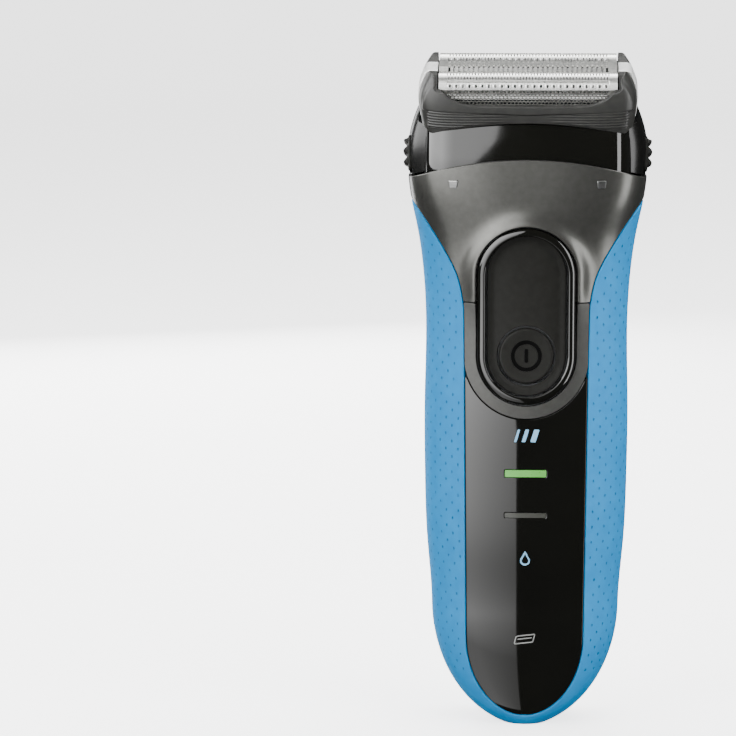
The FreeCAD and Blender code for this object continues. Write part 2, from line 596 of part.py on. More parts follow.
dome_outer = cylinder("dome_outer", "4.2", "dims.button_back - dims.button_pocket - 0.04", 0,
                      "-dims.button_pocket - 0.02", "dims.switch_level", FORTH)
dome_inner = cylinder("dome_inner", "3.0", "4", 0, "-dims.button_pocket + 1", "dims.switch_level", FORTH)
node("button_dome", cut("dome", dome_outer, dome_inner))

# ---------------------------------------------------------------- circuit board
bosses_clear = [(f"{sign} * dims.boss_half_spacing", "dims.boss_level", "dims.boss_radius + 0.3")
                for sign in (-1, 1)]
board_side = [("9", "dims.board_bottom"), ("10.6", "26"), ("dims.board_half_width", "42"),
              ("dims.board_half_width", "dims.board_top")]
board_outline = board_side + [(f"-({x})", z) for x, z in reversed(board_side)]
board = padded("circuit_board_body", "XZ_Plane", board_outline, "dims.board_thickness",
               offset="dims.board_front - dims.board_thickness", holes=bosses_clear)


def on_board(name, x, level, length, height, thickness):
    """A block on the front of the board, centred on (x, level)."""
    return box(name, f"{x}", f"-dims.board_front - 0.02 - ({thickness}) / 2", f"{level} - ({height}) / 2",
               length, thickness, height)


node("circuit_board", group("board_set", board, on_board("microcontroller", 0, 72, "5", "5", "0.9")))
leds = [on_board(f"led_{i}", x, level, "1.6", "0.8", "0.7")
        for i, (x, level) in enumerate([(-2.4, "dims.charge_light_level"), (2.4, "dims.charge_light_level"),
                                        (0, "dims.low_light_level"), (0, "dims.renew_light_level")])]
node("status_leds", group("led_set", *leds))
tact_body = on_board("tact_body", 0, "dims.switch_level", "6", "6", "1.0")
tact_pip = cylinder("tact_pip", "1.5", "1.5", 0, "-dims.board_front - 0.02", "dims.switch_level", FORTH)
node("power_tact_switch", fuse("tact_switch", tact_body, tact_pip))
node("charge_coil", cut("coil", cylinder("coil_outer", "5.6", "5.5", "-3", "-7.3", "87.5", BACK),
                        cylinder("coil_inner", "2.2", "9", "-3", "-8", "87.5", BACK)))
node("capacitor", cylinder("capacitor_can", "2.4", "7", "6.2", "-7.3", "88", BACK))

# ---------------------------------------------------------------- cells, chassis
for side, sign in (("left", -1), ("right", 1)):
    rim = "dims.cell_radius"
    cell = turned(f"cell_{side}", [("0", "0"), (f"{rim} - 0.5", "0"), (rim, "0.5"),
                                   (rim, "dims.cell_length - 1.5"), (f"{rim} - 0.6", "dims.cell_length - 1"),
                                   ("2.8", "dims.cell_length - 1"), ("2.8", "dims.cell_length"),
                                   ("0", "dims.cell_length")])
    place(cell, f"{sign} * dims.cell_spacing / 2", "dims.cell_depth", "dims.cell_bottom")
    node(f"battery_{side}", cell)
low_tab = box("low_tab", "0", "dims.cell_depth", "dims.cell_bottom - 0.6", "22", "4", "0.5")
high_tabs = [box(f"high_tab_{i}", f"{sign} * dims.cell_spacing / 2", "dims.cell_depth",
                 "dims.cell_bottom + dims.cell_length + 0.1", "8", "4", "0.5")
             for i, sign in enumerate((-1, 1))]
node("battery_tabs", group("tab_set", low_tab, *high_tabs))

shelf_top = "dims.cell_bottom + dims.cell_length + 1.1"
back_plate = box("back_plate", "0", "-6.2", "21", "28", "1.5", f"{shelf_top} - 20")
low_shelf = box("low_shelf", "0", "0.5", "21", "26", "14.9", "1.8")
high_shelf = box("high_shelf", "0", "0.5", shelf_top, "29.6", "14.9", "1")
straps = [box(f"strap_{i}", f"{sign} * 14", "0.5", shelf_top, "1.6", "9",
              f"dims.motor_bottom + dims.motor_length + 1.6 - ({shelf_top})")
          for i, sign in enumerate((-1, 1))]
motor_plate = box("motor_plate", "0", "dims.motor_y", "dims.motor_bottom + dims.motor_length + 0.1",
                  "29.6", "18", "1.5")
boss_hole = cylinder("motor_boss_hole", "3.4", "6", 0, "dims.motor_y",
                     "dims.motor_bottom + dims.motor_length - 2")
screw_holes = [cylinder(f"motor_screw_hole_{i}", "1.15", "6", x, "dims.motor_y", "126")
               for i, x in enumerate((-7.4, 7.4))]
node("chassis", cut("chassis_cut", fuse("chassis_body", back_plate, low_shelf, high_shelf, *straps,
                                        motor_plate),
                    boss_hole, *screw_holes))
motor_screws = []
for i, x in enumerate((-7.4, 7.4)):
    body = screw(f"motor_screw_{i}", "2.4")
    place(body, x, "dims.motor_y", "dims.motor_bottom + dims.motor_length + 1.65")
    motor_screws.append(body)
node("motor_screws", group("motor_screw_set", *motor_screws))

# ---------------------------------------------------------------- motor
top = "dims.motor_bottom + dims.motor_length"


def motor_tube(name, radius, inner, bottom, height):
    solid = cylinder(name + "_solid", radius, height, 0, "dims.motor_y", bottom)
    bore = cylinder(name + "_bore", inner, f"({height}) + 4", 0, "dims.motor_y", f"({bottom}) - 2")
    return cut(name, solid, bore)


can_tube = motor_tube("can_tube", "dims.motor_radius", "dims.motor_radius - dims.motor_wall",
                      "dims.motor_bottom", "dims.motor_length - 0.9")
can_top = motor_tube("can_top", "dims.motor_radius", "dims.shaft_radius + 0.3", f"{top} - 1", "1")
screw_bores = [cylinder(f"can_screw_bore_{i}", "1.15", "6", x, "dims.motor_y", f"{top} - 3")
               for i, x in enumerate((-7.4, 7.4))]
can_boss = motor_tube("can_boss", "3.1", "dims.shaft_radius + 0.3", f"{top} - 0.2", "1.4")
node("motor_can", cut("can", fuse("can_body", can_tube, can_top, can_boss), *screw_bores))
magnet_tube = motor_tube("magnet_tube", "dims.motor_radius - dims.motor_wall - 0.05", "7.7", "106", "16")
magnet_gap = box("magnet_gap", "0", "dims.motor_y", "104", "30", "5", "20")
node("motor_magnets", cut("magnets", magnet_tube, magnet_gap))
bell = cylinder("bell_disc", "dims.motor_radius - 0.2", "2", 0, "dims.motor_y", "dims.motor_bottom - 2.05")
bell_bore = cylinder("bell_bore", "dims.shaft_radius + 0.3", "3", 0, "dims.motor_y",
                     "dims.motor_bottom - 1.6")
terminals = [box(f"terminal_{i}", x, "dims.motor_y", "dims.motor_bottom - 5.5", "2.2", "0.5", "3.4")
             for i, x in enumerate((-6, 6))]
node("motor_end_bell", group("end_bell_set", cut("end_bell", bell, bell_bore), *terminals))

iron = cylinder("iron_core", "7.2", "15", 0, "dims.motor_y", "106.5")
pole_slots = []
for i in range(3):
    slot = doc.addObject("Part::Box", f"pole_slot_{i}")
    slot.Length, slot.Width, slot.Height = 12, 1.6, 20
    turn = Rotation(Vector(0, 0, 1), 60 + 120 * i)
    slot.Placement = Placement(Vector(0, dim("motor_y"), 104) + turn.multVec(Vector(3.2, -0.8, 0)), turn)
    pole_slots.append(slot)
iron_bore = cylinder("iron_bore", "dims.shaft_radius + dims.shaft_clearance", "20", 0, "dims.motor_y", "104")
drum = motor_tube("commutator_drum", "2.6", "dims.shaft_radius + dims.shaft_clearance", "102.4", "3.6")
node("motor_armature", group("armature_set", cut("armature", iron, *pole_slots, iron_bore), drum))
node("motor_shaft", cylinder("shaft", "dims.shaft_radius", "dims.shaft_top - dims.shaft_bottom", 0,
                             "dims.motor_y", "dims.shaft_bottom"))
hub = motor_tube("eccentric_hub", "dims.eccentric_radius", "dims.shaft_radius + dims.shaft_clearance",
                 "dims.eccentric_bottom", "dims.eccentric_height + 1.4")
crank_bottom = "dims.eccentric_bottom + dims.eccentric_height + 1.35"
crank = cylinder("crank_pin", "dims.crank_radius", "dims.crank_height - 1.4", "dims.stroke", "dims.motor_y",
                 crank_bottom)
node("motor_eccentric", fuse("eccentric", hub, crank))

# ---------------------------------------------------------------- power socket
socket_block = box("socket_block", "0", "0", "dims.socket_sink",
                   "2 * (dims.socket_half_width + dims.socket_wall)",
                   "2 * (dims.socket_half_depth + dims.socket_wall)", "dims.socket_top - dims.socket_sink")
socket_mouth = box("socket_mouth", "0", "0", "-1", "2 * dims.socket_half_width", "2 * dims.socket_half_depth",
                   "dims.socket_base + 1")
contacts = [fuse(f"contact_{i}",
                 cylinder(f"contact_pin_{i}", "dims.contact_radius", "dims.socket_base - dims.contact_tip",
                          f"{s} * dims.contact_half_spacing", 0, "dims.contact_tip"),
                 cylinder(f"contact_tail_{i}", "dims.contact_tail_radius", "4.8",
                          f"{s} * dims.contact_half_spacing", 0, "dims.socket_base"))
            for i, s in enumerate((-1, 1))]
contact_bores = [cylinder(f"contact_bore_{i}", "dims.contact_tail_radius + 0.03", "9",
                          f"{s} * dims.contact_half_spacing", 0, "dims.socket_base - 1")
                 for i, s in enumerate((-1, 1))]
node("socket_housing", cut("socket_shell", socket_block, socket_mouth, *contact_bores))
node("socket_contacts", group("contact_set", *contacts))
gasket_outer = box("gasket_outer", "0", "0", "5.6", "2 * (dims.socket_half_width + dims.socket_wall + 1.2)",
                   "2 * (dims.socket_half_depth + dims.socket_wall + 1.2)", "1")
gasket_inner = box("gasket_inner", "0", "0", "5", "2 * (dims.socket_half_width + dims.socket_wall + 0.05)",
                   "2 * (dims.socket_half_depth + dims.socket_wall + 0.05)", "3")
node("socket_gasket", cut("gasket", gasket_outer, gasket_inner))

# ---------------------------------------------------------------- head base
PARTS = ("half_width", "front", "back")
BLOCK = ("root", "chin", "lip", "peak")


def block_solid(name, grow):
    """The head's middle block: its side view across the full width, with rounded corner edges."""
    half = dim("block_half_width") + grow
    curves, ends = [], []
    for side, sign in (("front", -1), ("back", 1)):
        points = [Vector(-half, sign * (dim(f"{station}_{side}") + grow), dim(f"{station}_level"))
                  for station in BLOCK]
        curve = Part.BSplineCurve()
        curve.interpolate(points)
        curves.append(curve.toShape())
        ends.append((points[0], points[-1]))
    caps = [Part.LineSegment(ends[0][i], ends[1][i]).toShape() for i in (0, 1)]
    face = Part.Face(Part.Wire(Part.__sortEdges__(curves + caps)))
    solid = face.extrude(Vector(2 * half, 0, 0))
    upright = [edge for edge in solid.Edges if edge.BoundBox.ZLength > 10]
    return solid_feature(name, solid.makeFillet(dim("block_corner") + grow, upright))


ARMS = ("arm_low", "arm_mid", "arm_high", "arm_ear", "arm_end")
block = block_solid("head_block", 0.0)
block_room = block_solid("head_block_room", 0.12)
arm_roundness = [dim("arm_roundness")] * len(ARMS)
arms_loft = stack_solid("arms_loft", ARMS, PARTS, arm_roundness)
arms_grown = stack_solid("arms_grown", ARMS, PARTS, arm_roundness, dim("release_rise"))
arms_room = stack_solid("arms_room", ARMS, PARTS, arm_roundness, 0.1)


def seat_profile(name, drop, top):
    """A prism across the head, in head coordinates, above the arched seat lowered by drop."""
    span, rise, low = dim("seat_half_length"), dim("seat_rise") - drop, -drop
    arc = Part.Arc(at_front(-span, low), at_front(0, rise), at_front(span, low)).toShape()
    reach = dim("arm_inner")
    outline = [(span, low), (reach, low), (reach, top), (-reach, top), (-reach, low), (-span, low)]
    lines = [Part.LineSegment(at_front(*a), at_front(*b)).toShape() for a, b in zip(outline, outline[1:])]
    return front_prism(name, [arc] + lines, -FAR, FAR)


def head_box(name, half_length, half_depth, bottom, height, x=0.0, y=0.0):
    """A box in head coordinates, centred on (x, y)."""
    inner = doc.addObject("Part::Box", name)
    inner.Length, inner.Width, inner.Height = 2 * half_length, 2 * half_depth, height
    inner.Placement = HEAD.multiply(Placement(Vector(x - half_length, y - half_depth, bottom), Rotation()))
    return inner


above_seat = seat_profile("above_seat", dim("seat_gap"), FAR)
above_seat.Placement = HEAD
well = head_box("well", dim("collar_half_length") + dim("well_gap"),
                dim("collar_half_depth") + dim("well_gap"),
                dim("well_floor"), FAR)
stem_slot = head_box("stem_slot", dim("stem_radius") + dim("stroke") + 0.5, dim("stem_radius") + 0.5,
                     dim("well_floor") - 3, 4)
drive_room_box = box("drive_room_box", "0", "-1.5", "128", "40", "20", "24")
drive_roof = head_box("drive_roof", FAR, FAR, dim("well_floor") - dim("well_floor_thickness"), FAR)
drive_room = cut("drive_room", drive_room_box, drive_roof)
below_base = below_arch("below_base", 3.9)
below_pane = below_arch("below_pane", 2.6)
below_arms = below_arch("below_arms", -0.12)


def pane_slab(name, depth, reach, half_width=FAR):
    """The part of the head block's front that is less than depth deep, out to reach in front of it."""
    line = [(dim(f"{station}_front"), dim(f"{station}_level")) for station in BLOCK]
    back = [(depth - y, z) for y, z in line]
    front = [(reach - y, z) for y, z in reversed(line)]
    return side_prism(name, back + front, -half_width, half_width)


pane_zone = pane_slab("pane_zone", dim("pane_depth"), -20.0)
pane_room = pane_slab("pane_room", dim("pane_depth") + 0.1, -20.0)
pane_hollow = pane_slab("pane_hollow", dim("pane_depth") + 2.0, dim("pane_thickness"),
                        dim("pane_hollow_half"))
pockets = []
reach = 12.0
for side, sign in (("left", -1), ("right", 1)):
    pockets.append(box(f"release_pocket_{side}", f"{sign} * (dims.release_pocket + {reach / 2})",
                       "dims.release_y", "dims.release_level - dims.release_half_height - 0.3", f"{reach}",
                       "2 * (dims.release_half_depth + 0.3)", "2 * (dims.release_half_height + 0.3)"))
left_zone = box("left_zone", "-dims.arm_root - 15", "0", "125", "30", "60", "40")
left_arm_raw = cut("left_arm_raw", common("left_arm_rough", arms_loft, left_zone), below_arms)
left_arm = cut("left_arm", cut("left_arm_top", left_arm_raw, above_seat), pockets[0])
right_arm = mirrored("right_arm", left_arm)
base_solid = cut("base_solid", block, below_base)
for name, tool in (("front", pane_room), ("top", above_seat), ("well", well), ("slot", stem_slot),
                   ("room", drive_room), ("left", pockets[0]), ("right", pockets[1])):
    base_solid = cut(f"base_{name}", base_solid, tool)
node("head_base", fuse("base", base_solid, left_arm, right_arm))
left_clear_zone = box("left_clear_zone", "-dims.arm_root - 14.9", "0", "125", "30", "60", "40")
left_arm_room = common("left_arm_room", arms_room, left_clear_zone)
pane = cut("pane_solid", common("pane_rough", block, pane_zone), below_pane)
for name, tool in (("top", above_seat), ("hollow", pane_hollow), ("well", well), ("left", left_arm_room),
                   ("right", mirrored("right_arm_room", left_arm_room))):
    pane = cut(f"pane_{name}_cut", pane, tool)
node("head_window", pane)
node("shoulder_panel", cut("shoulder_trim", shoulder, block_room))
node("rear_yoke", cut("rear_yoke_trim", rear_yoke, block_room))

blank = box("release_blank", "-dims.release_back - 5", "dims.release_y",
            "dims.release_level - dims.release_half_height", "10", "2 * dims.release_half_depth",
            "2 * dims.release_half_height")
OUTWARD = Vector(-1, 0, 0)
release_bore = cylinder("release_bore", "dims.release_bore_radius", "dims.release_bore_end - 20", "-20",
                        "dims.release_y", "dims.release_level", OUTWARD)
release_grooves = []
for i in range(int(dim("release_grooves"))):
    groove = doc.addObject("Part::Box", f"release_groove_{i}")
    groove.Length, groove.Width, groove.Height = 4, 14, 0.9
    lift = (i - 1) * 2.1 + dim("release_level") - 0.45
    start = dim("release_rise") + dim("arm_mid_half_width") - 0.55
    groove.Placement = Placement(Vector(-start - 4, dim("release_y") - 7, lift),
                                 Rotation(Vector(1, 0, 0), 8), Vector(0, 7, 0))
    release_grooves.append(groove)
node("left_release_button", cut("release_left", common("release_shape", blank, arms_grown), release_bore,
                                *release_grooves))
coil = cylinder("release_coil", "1.5", "4.1", "-dims.release_pocket - 0.1", "dims.release_y",
                "dims.release_level", OUTWARD)
coil_core = cylinder("release_coil_core", "1.0", "9", "-dims.release_pocket + 1", "dims.release_y",
                     "dims.release_level", OUTWARD)
node("left_release_spring", cut("release_spring_left", coil, coil_core))
for piece in ("release_button", "release_spring"):
    node(f"right_{piece}", mirrored(f"right_{piece}_twin", nodes[f"left_{piece}"]))

# ---------------------------------------------------------------- drive bridge
bridge_block = box("bridge_block", "0", "-0.5", "dims.bridge_bottom", "2 * dims.bridge_half_length",
                   "2 * dims.bridge_half_depth", "dims.bridge_height")
stem = doc.addObject("Part::Cylinder", "bridge_stem")
bind(stem, "Radius", "dims.stem_radius")
bind(stem, "Height", "dims.stem_top - dims.stem_root")
stem.Placement = HEAD.multiply(Placement(Vector(0, 0, dim("stem_root")), Rotation()))
below_bridge = box("below_bridge", "0", "0", "120", "40", "40", "dims.bridge_bottom - 120")
crank_slot = box("crank_slot", "0", "dims.motor_y", "dims.bridge_bottom - 1",
                 "2 * (dims.crank_radius + 0.1)", "2 * (dims.crank_radius + dims.stroke + 0.1)", "2.4")
node("drive_bridge", cut("bridge", fuse("bridge_body", bridge_block, stem), below_bridge, crank_slot))
leaves = [box(f"leaf_{i}", f"{s} * (dims.bridge_half_length + 0.35)", "-2", "dims.bridge_bottom + 0.4", "0.4",
              "4", "6.4") for i, s in enumerate((-1, 1))]
node("bridge_flexures", group("leaf_set", *leaves))
boot = turned("boot_body", [("dims.stem_radius + 0.1", "0"), ("5.2", "0"), ("5.2", "0.7"), ("3.6", "0.9"),
                            ("3.4", "1.5"), ("2.6", "1.7"), ("2.5", "2.3"),
                             ("dims.stem_radius + 0.1", "2.3")])
node("drive_boot", boot, HEAD.multiply(Placement(Vector(0, 0, dim("well_floor") + 0.03), Rotation())))

# ---------------------------------------------------------------- cassette frame
CASSETTE = ("skirt", "flank", "widest", "rim", "horn", "tip")
LENGTHS = ("half_length", "half_depth", "half_depth")


def smile_tool():
    """Everything above the dipped upper edge of the cassette's front and rear walls."""
    right = [(dim("smile_shoulder_half"), dim("smile_shoulder")), (dim("smile_end_half"), dim("smile_end")),
             (dim("smile_tip_half"), dim("smile_tip"))]
    points = [(-x, z) for x, z in reversed(right)] + [(0, dim("smile_middle"))] + right
    curve = Part.BSplineCurve()
    curve.interpolate([at_front(x, z) for x, z in points])
    last, roof = dim("smile_tip_half"), 20.0
    outline = [(last, dim("smile_tip")), (last, roof), (-last, roof), (-last, dim("smile_tip"))]
    lines = [Part.LineSegment(at_front(*a), at_front(*b)).toShape() for a, b in zip(outline, outline[1:])]
    return front_prism("smile", [curve.toShape()] + lines, -FAR, FAR)


def plain_box(name, half_length, half_depth, bottom, height, x=0.0, y=0.0):
    """A box that stands in head coordinates before the node is placed on the head."""
    inner = doc.addObject("Part::Box", name)
    inner.Length, inner.Width, inner.Height = 2 * half_length, 2 * half_depth, height
    inner.Placement = Placement(Vector(x - half_length, y - half_depth, bottom), Rotation())
    return inner


case_roundness = [dim("cassette_roundness")] * len(CASSETTE)
case_loft = stack_solid("case_loft", CASSETTE, LENGTHS, case_roundness)
seat_room = seat_profile("seat_room", 0.0, FAR)
left_side = plain_box("left_side", FAR / 2, FAR, -FAR / 2, FAR, x=-FAR / 2)
case_half = common("case_half", case_loft, left_side)
case_whole = fuse("case_whole", case_half, mirrored("case_half_twin", case_half))
case_outer = common("case_outer", case_whole, seat_room)
length, depth = dim("cavity_half_length"), dim("cavity_half_depth")
collar = plain_box("collar", dim("collar_half_length"), dim("collar_half_depth"), dim("collar_bottom"),
                   dim("cavity_floor") - dim("collar_bottom"))
inner_length = dim("collar_half_length") - dim("collar_wall")
inner_depth = dim("collar_half_depth") - dim("collar_wall")
collar_top_room = plain_box("collar_top_room", inner_length, inner_depth,
                            dim("floor_level") + dim("floor_thickness"),
                            FAR)
collar_low_room = plain_box("collar_low_room", inner_length, inner_depth, dim("collar_bottom") - 1,
                            dim("floor_level") - dim("collar_bottom") + 1)
slot_half = dim("stem_radius") + dim("stroke") + 0.5
case_slot = plain_box("case_slot", slot_half, dim("stem_radius") + 0.6, -5, 10)
cavity = plain_box("cavity", length, depth, dim("cavity_floor"), FAR)
ramps = [side_prism(f"ramp_{i}", [(s * 7.4, 15), (s * 7.4, 13.4), (s * 9.9, 9.8), (s * 12, 9.4),
                                  (s * 12, 15)],
                    -FAR, FAR) for i, s in enumerate((-1, 1))]
valley = side_prism("horn_valley", [(-4.9, 15), (-4.9, 13.4), (-2.95, 12.2), (2.95, 12.2), (4.9, 13.4),
                                    (4.9, 15)],
                    -FAR, FAR)
horn_top = plain_box("horn_top", FAR, FAR, 13.4, 5)
grooves = []
for sign in (-1, 1):
    for side in (-1, 1):
        for i in range(int(dim("rib_count"))):
            level = 1.6 + dim("rib_pitch") * i
            half = dim("rib_length") / 2 - 0.5 * i
            groove = Part.makeBox(2 * half, 2, dim("rib_height"))
            centre = sign * (22.0 - half - 0.1 * i)
            groove.translate(Vector(centre - half, side * 11.3 - 1, level))
            grooves.append(groove)
rib_grooves = solid_feature("rib_grooves", Part.makeCompound(grooves))
case = cut("case", fuse("case_body", case_outer, collar), smile_tool(), cavity, collar_top_room,
           collar_low_room,
           case_slot, *ramps, valley, horn_top, rib_grooves)
node("cassette_frame", case, HEAD)
band_loft = stack_solid("band_loft", CASSETTE, LENGTHS, case_roundness, dim("band_thickness"))
band_core = stack_solid("band_core", CASSETTE, LENGTHS, case_roundness, 0.02)
band_zone = plain_box("band_zone", 4, dim("band_half_width"), 0.5, 11.7, x=-24.5)
left_band = cut("left_band", common("left_band_rough", band_loft, band_zone), band_core)
node("cassette_end_bands", group("bands", left_band, mirrored("right_band", left_band)), HEAD)

# ---------------------------------------------------------------- slider that carries the drive
plate = plain_box("slider_plate", dim("slider_half_length"), dim("slider_half_depth"), dim("slider_bottom"),
                  dim("slider_height"))
posts = []
for i, y in enumerate((-dim("foil_pitch"), 0.0, dim("foil_pitch"))):
    for j, sign in enumerate((-1, 1)):
        post = doc.addObject("Part::Cylinder", f"post_{i}_{j}")
        bind(post, "Radius", "dims.post_radius")
        bind(post, "Height", "dims.post_top - dims.slider_bottom")
        post.Placement = Placement(Vector(sign * dim("post_half_spacing"), y, dim("slider_bottom")),
                                   Rotation())
        posts.append(post)
stem_hole_tool = doc.addObject("Part::Cylinder", "slider_stem_hole")
bind(stem_hole_tool, "Radius", "dims.stem_radius + dims.stem_clearance")
stem_hole_tool.Height = 4
stem_hole_tool.Placement = Placement(Vector(0, 0, dim("slider_bottom") - 1), Rotation())
node("cutter_slider", cut("slider", fuse("slider_body", plate, *posts), stem_hole_tool), HEAD)


# ---------------------------------------------------------------- foils, their frames and cutters
def arch_shape(y, inset, foot, half_length, x=0.0):
    """A bar along X whose section has straight legs and a semi-elliptic crown."""
    half, crest = dim("foil_half_width") - inset, dim("foil_crest") - inset
    spring = dim("foil_crest") - dim("foil_arch")
    start = x - half_length
    left, right = Vector(start, y - half, spring), Vector(start, y + half, spring)
    major, minor = (half, crest - spring) if half >= crest - spring else (crest - spring, half)
    if half >= crest - spring:
        ellipse = Part.Ellipse(Vector(start, y + half, spring), Vector(start, y, crest),
                               Vector(start, y, spring))
    else:
        ellipse = Part.Ellipse(Vector(start, y, crest), Vector(start, y + half, spring),
                               Vector(start, y, spring))
    a, b = sorted((ellipse.parameter(left), ellipse.parameter(right)))
    crown = ellipse.toShape(a, b)
    if crown.valueAt((a + b) / 2).z < spring:
        crown = ellipse.toShape(b, a + 2 * math.pi)
    low_left, low_right = Vector(start, y - half, foot), Vector(start, y + half, foot)
    lines = [Part.LineSegment(p, q).toShape()
             for p, q in ((left, low_left), (low_left, low_right), (low_right, right))]
    wire = Part.Wire(Part.__sortEdges__([crown] + lines))
    return Part.Face(wire).extrude(Vector(2 * half_length, 0, 0))


half_length, sheet = dim("foil_half_length"), dim("foil_sheet")
blade_step = 2 * dim("blade_half_span") / (dim("blade_count") - 1)
plug_half = (half_length - 0.1 - dim("foil_end")) / 2
plug_x = dim("foil_end") + plug_half
for name, y in (("front", -dim("foil_pitch")), ("rear", dim("foil_pitch"))):
    skin_bar = solid_feature(f"{name}_foil_bar", arch_shape(y, 0.0, dim("foil_foot"), half_length))
    hollow = solid_feature(f"{name}_foil_hollow", arch_shape(y, sheet, dim("foil_foot") - 1, half_length + 1))
    node(f"{name}_foil", cut(f"{name}_foil_sheet", skin_bar, hollow), HEAD)
    plugs = [solid_feature(f"{name}_plug_{i}", arch_shape(y, sheet + 0.04, dim("foil_plug_bottom"), plug_half,
                                                          s * plug_x)) for i, s in enumerate((-1, 1))]
    rail_y = dim("foil_half_width") - sheet - 0.04 - dim("rail_thickness") / 2
    rails = [plain_box(f"{name}_rail_{i}", half_length - 0.1, dim("rail_thickness") / 2, dim("rail_bottom"),
                       dim("rail_height"), 0.0, y + s * rail_y) for i, s in enumerate((-1, 1))]
    node(f"{name}_foil_frame", fuse(f"{name}_foil_frame_body", *plugs, *rails), HEAD)
    carrier = plain_box(f"{name}_carrier", dim("carrier_half_length"), dim("carrier_half_width"),
                        dim("carrier_bottom"), dim("carrier_height"), 0.0, y)
    inset = sheet + dim("cutter_gap")
    arch = arch_shape(y, inset, dim("blade_foot"), 30)
    hollow_bar = arch_shape(y, dim("foil_half_width") - dim("hollow_half_width"), 0.0, 32)
    blades = []
    for i in range(int(dim("blade_count"))):
        x = -dim("blade_half_span") + i * blade_step
        slab = Part.makeBox(dim("blade_thickness"), 8, 8, Vector(x - dim("blade_thickness") / 2, y - 4, 7))
        blades.append(arch.common(slab).cut(hollow_bar))
    blade_set = solid_feature(f"{name}_blades", Part.makeCompound(blades))
    bores = []
    for i, s in enumerate((-1, 1)):
        bore = Part.makeCylinder(dim("post_radius") + 0.3, 4, Vector(s * dim("post_half_spacing"), y, 6.5))
        bores.append(solid_feature(f"{name}_carrier_bore_{i}", bore))
    node(f"{name}_cutter", cut(f"{name}_cutter_block", fuse(f"{name}_cutter_body", carrier, blade_set),
                               *bores),
         HEAD)


def spring_pair(name, y, top):
    """Two short coil springs, modelled as tubes, between the cassette floor and a floating unit."""
    tubes = []
    for i, s in enumerate((-1, 1)):
        base = Vector(s * plug_x, y, dim("cavity_floor") + 0.05)
        height = top - 0.05 - base.z
        tube = Part.makeCylinder(dim("spring_radius"), height, base)
        bore = Part.makeCylinder(dim("spring_radius") - 0.3, height + 2, base - Vector(0, 0, 1))
        tubes.append(tube.cut(bore))
    return node(name, solid_feature(name + "_tubes", Part.makeCompound(tubes)), HEAD)


spring_pair("front_foil_springs", -dim("foil_pitch"), dim("foil_plug_bottom"))
spring_pair("rear_foil_springs", dim("foil_pitch"), dim("foil_plug_bottom"))
spring_pair("trimmer_springs", 0.0, dim("foil_plug_bottom"))

# ---------------------------------------------------------------- middle trimmer
comb_half, comb_length = dim("comb_half_width"), dim("comb_half_length")
comb_height = dim("comb_top") - dim("comb_bottom")
comb_block = plain_box("comb_block", comb_length, comb_half, dim("comb_bottom"), comb_height)
comb_edges = [side_prism(f"comb_bevel_{i}", [(s * (comb_half - 0.5), 14),
                                             (s * (comb_half - 0.5), dim("comb_top")),
                                             (s * (comb_half + 0.1), dim("comb_top") - 1.3),
                                             (s * 4, 12), (s * 4, 14)],
                         -FAR, FAR) for i, s in enumerate((-1, 1))]
comb_room = plain_box("comb_room", comb_length - 1.5, comb_half - dim("comb_wall"), dim("comb_bottom") - 1,
                      comb_height + 1 - dim("comb_wall"))
comb_feet = [plain_box(f"comb_foot_{i}", plug_half, comb_half - 0.3, dim("foil_plug_bottom"), 2.2, s * plug_x)
             for i, s in enumerate((-1, 1))]
slots = []
for i in range(int(dim("comb_slots"))):
    x = (i - (dim("comb_slots") - 1) / 2) * dim("comb_pitch")
    for s in (-1, 1):
        near = dim("comb_spine") if s > 0 else -dim("comb_spine") - 3
        corner = Vector(x - dim("comb_slot_width") / 2, near, dim("comb_top") - dim("comb_slot_depth"))
        slots.append(Part.makeBox(dim("comb_slot_width"), 3, 4, corner))
comb_slots = solid_feature("comb_slots", Part.makeCompound(slots))
node("trimmer_comb", cut("comb", fuse("comb_body", comb_block, *comb_feet), comb_room, comb_slots,
                         *comb_edges),
     HEAD)
blade_half = comb_half - dim("comb_wall") - 0.12
edge_drop = 0.75
blade_top = dim("comb_top") - dim("comb_wall") - 0.12
blade_body = side_prism("trimmer_blade_body", [
    (-blade_half, dim("carrier_bottom") + 1.2), (blade_half, dim("carrier_bottom") + 1.2),
    (blade_half, blade_top - edge_drop), (blade_half - 0.4, blade_top), (-blade_half + 0.4, blade_top),
    (-blade_half, blade_top - edge_drop)], -17.8, 17.8)
teeth_gaps = []
for i in range(30):
    x = (i - 14.5) * dim("comb_pitch")
    for s in (-1, 1):
        near = 0.9 if s > 0 else -3.9
        teeth_gaps.append(Part.makeBox(0.6, 3, 4, Vector(x - 0.3, near, blade_top - 1.4)))
tooth_gaps = solid_feature("trimmer_tooth_gaps", Part.makeCompound(teeth_gaps))
blade_foot = plain_box("trimmer_blade_foot", 17.8, 1.6, dim("carrier_bottom"), 1.3)
blade_bores = [solid_feature(f"trimmer_bore_{i}", Part.makeCylinder(
    dim("post_radius") + 0.3, 4, Vector(s * dim("post_half_spacing"), 0, 6.6))) for i, s in enumerate((-1,
                                                                                                       1))]
node("trimmer_blade", cut("trimmer_cutter", fuse("trimmer_cutter_body", blade_body, blade_foot), tooth_gaps,
                          *blade_bores), HEAD)

# ---------------------------------------------------------------- check and write
doc.recompute()
written = {obj.Name for obj in nodes.values()}
for obj in doc.Objects:
    if "Invalid" in obj.State or "Error" in obj.State:
        raise RuntimeError(f"{obj.Name}: {obj.State}")
    if obj.Name in written and (obj.Shape.isNull() or not obj.Shape.isValid() or not obj.Shape.Solids):
        raise RuntimeError(f"{obj.Label}: its shape is empty or invalid")
os.makedirs("parts", exist_ok=True)
for label, obj in nodes.items():
    obj.Shape.exportStep(f"parts/{label}.step")
    print(f"{label}: {obj.Shape.Volume:.1f} mm3, {len(obj.Shape.Solids)} solids")
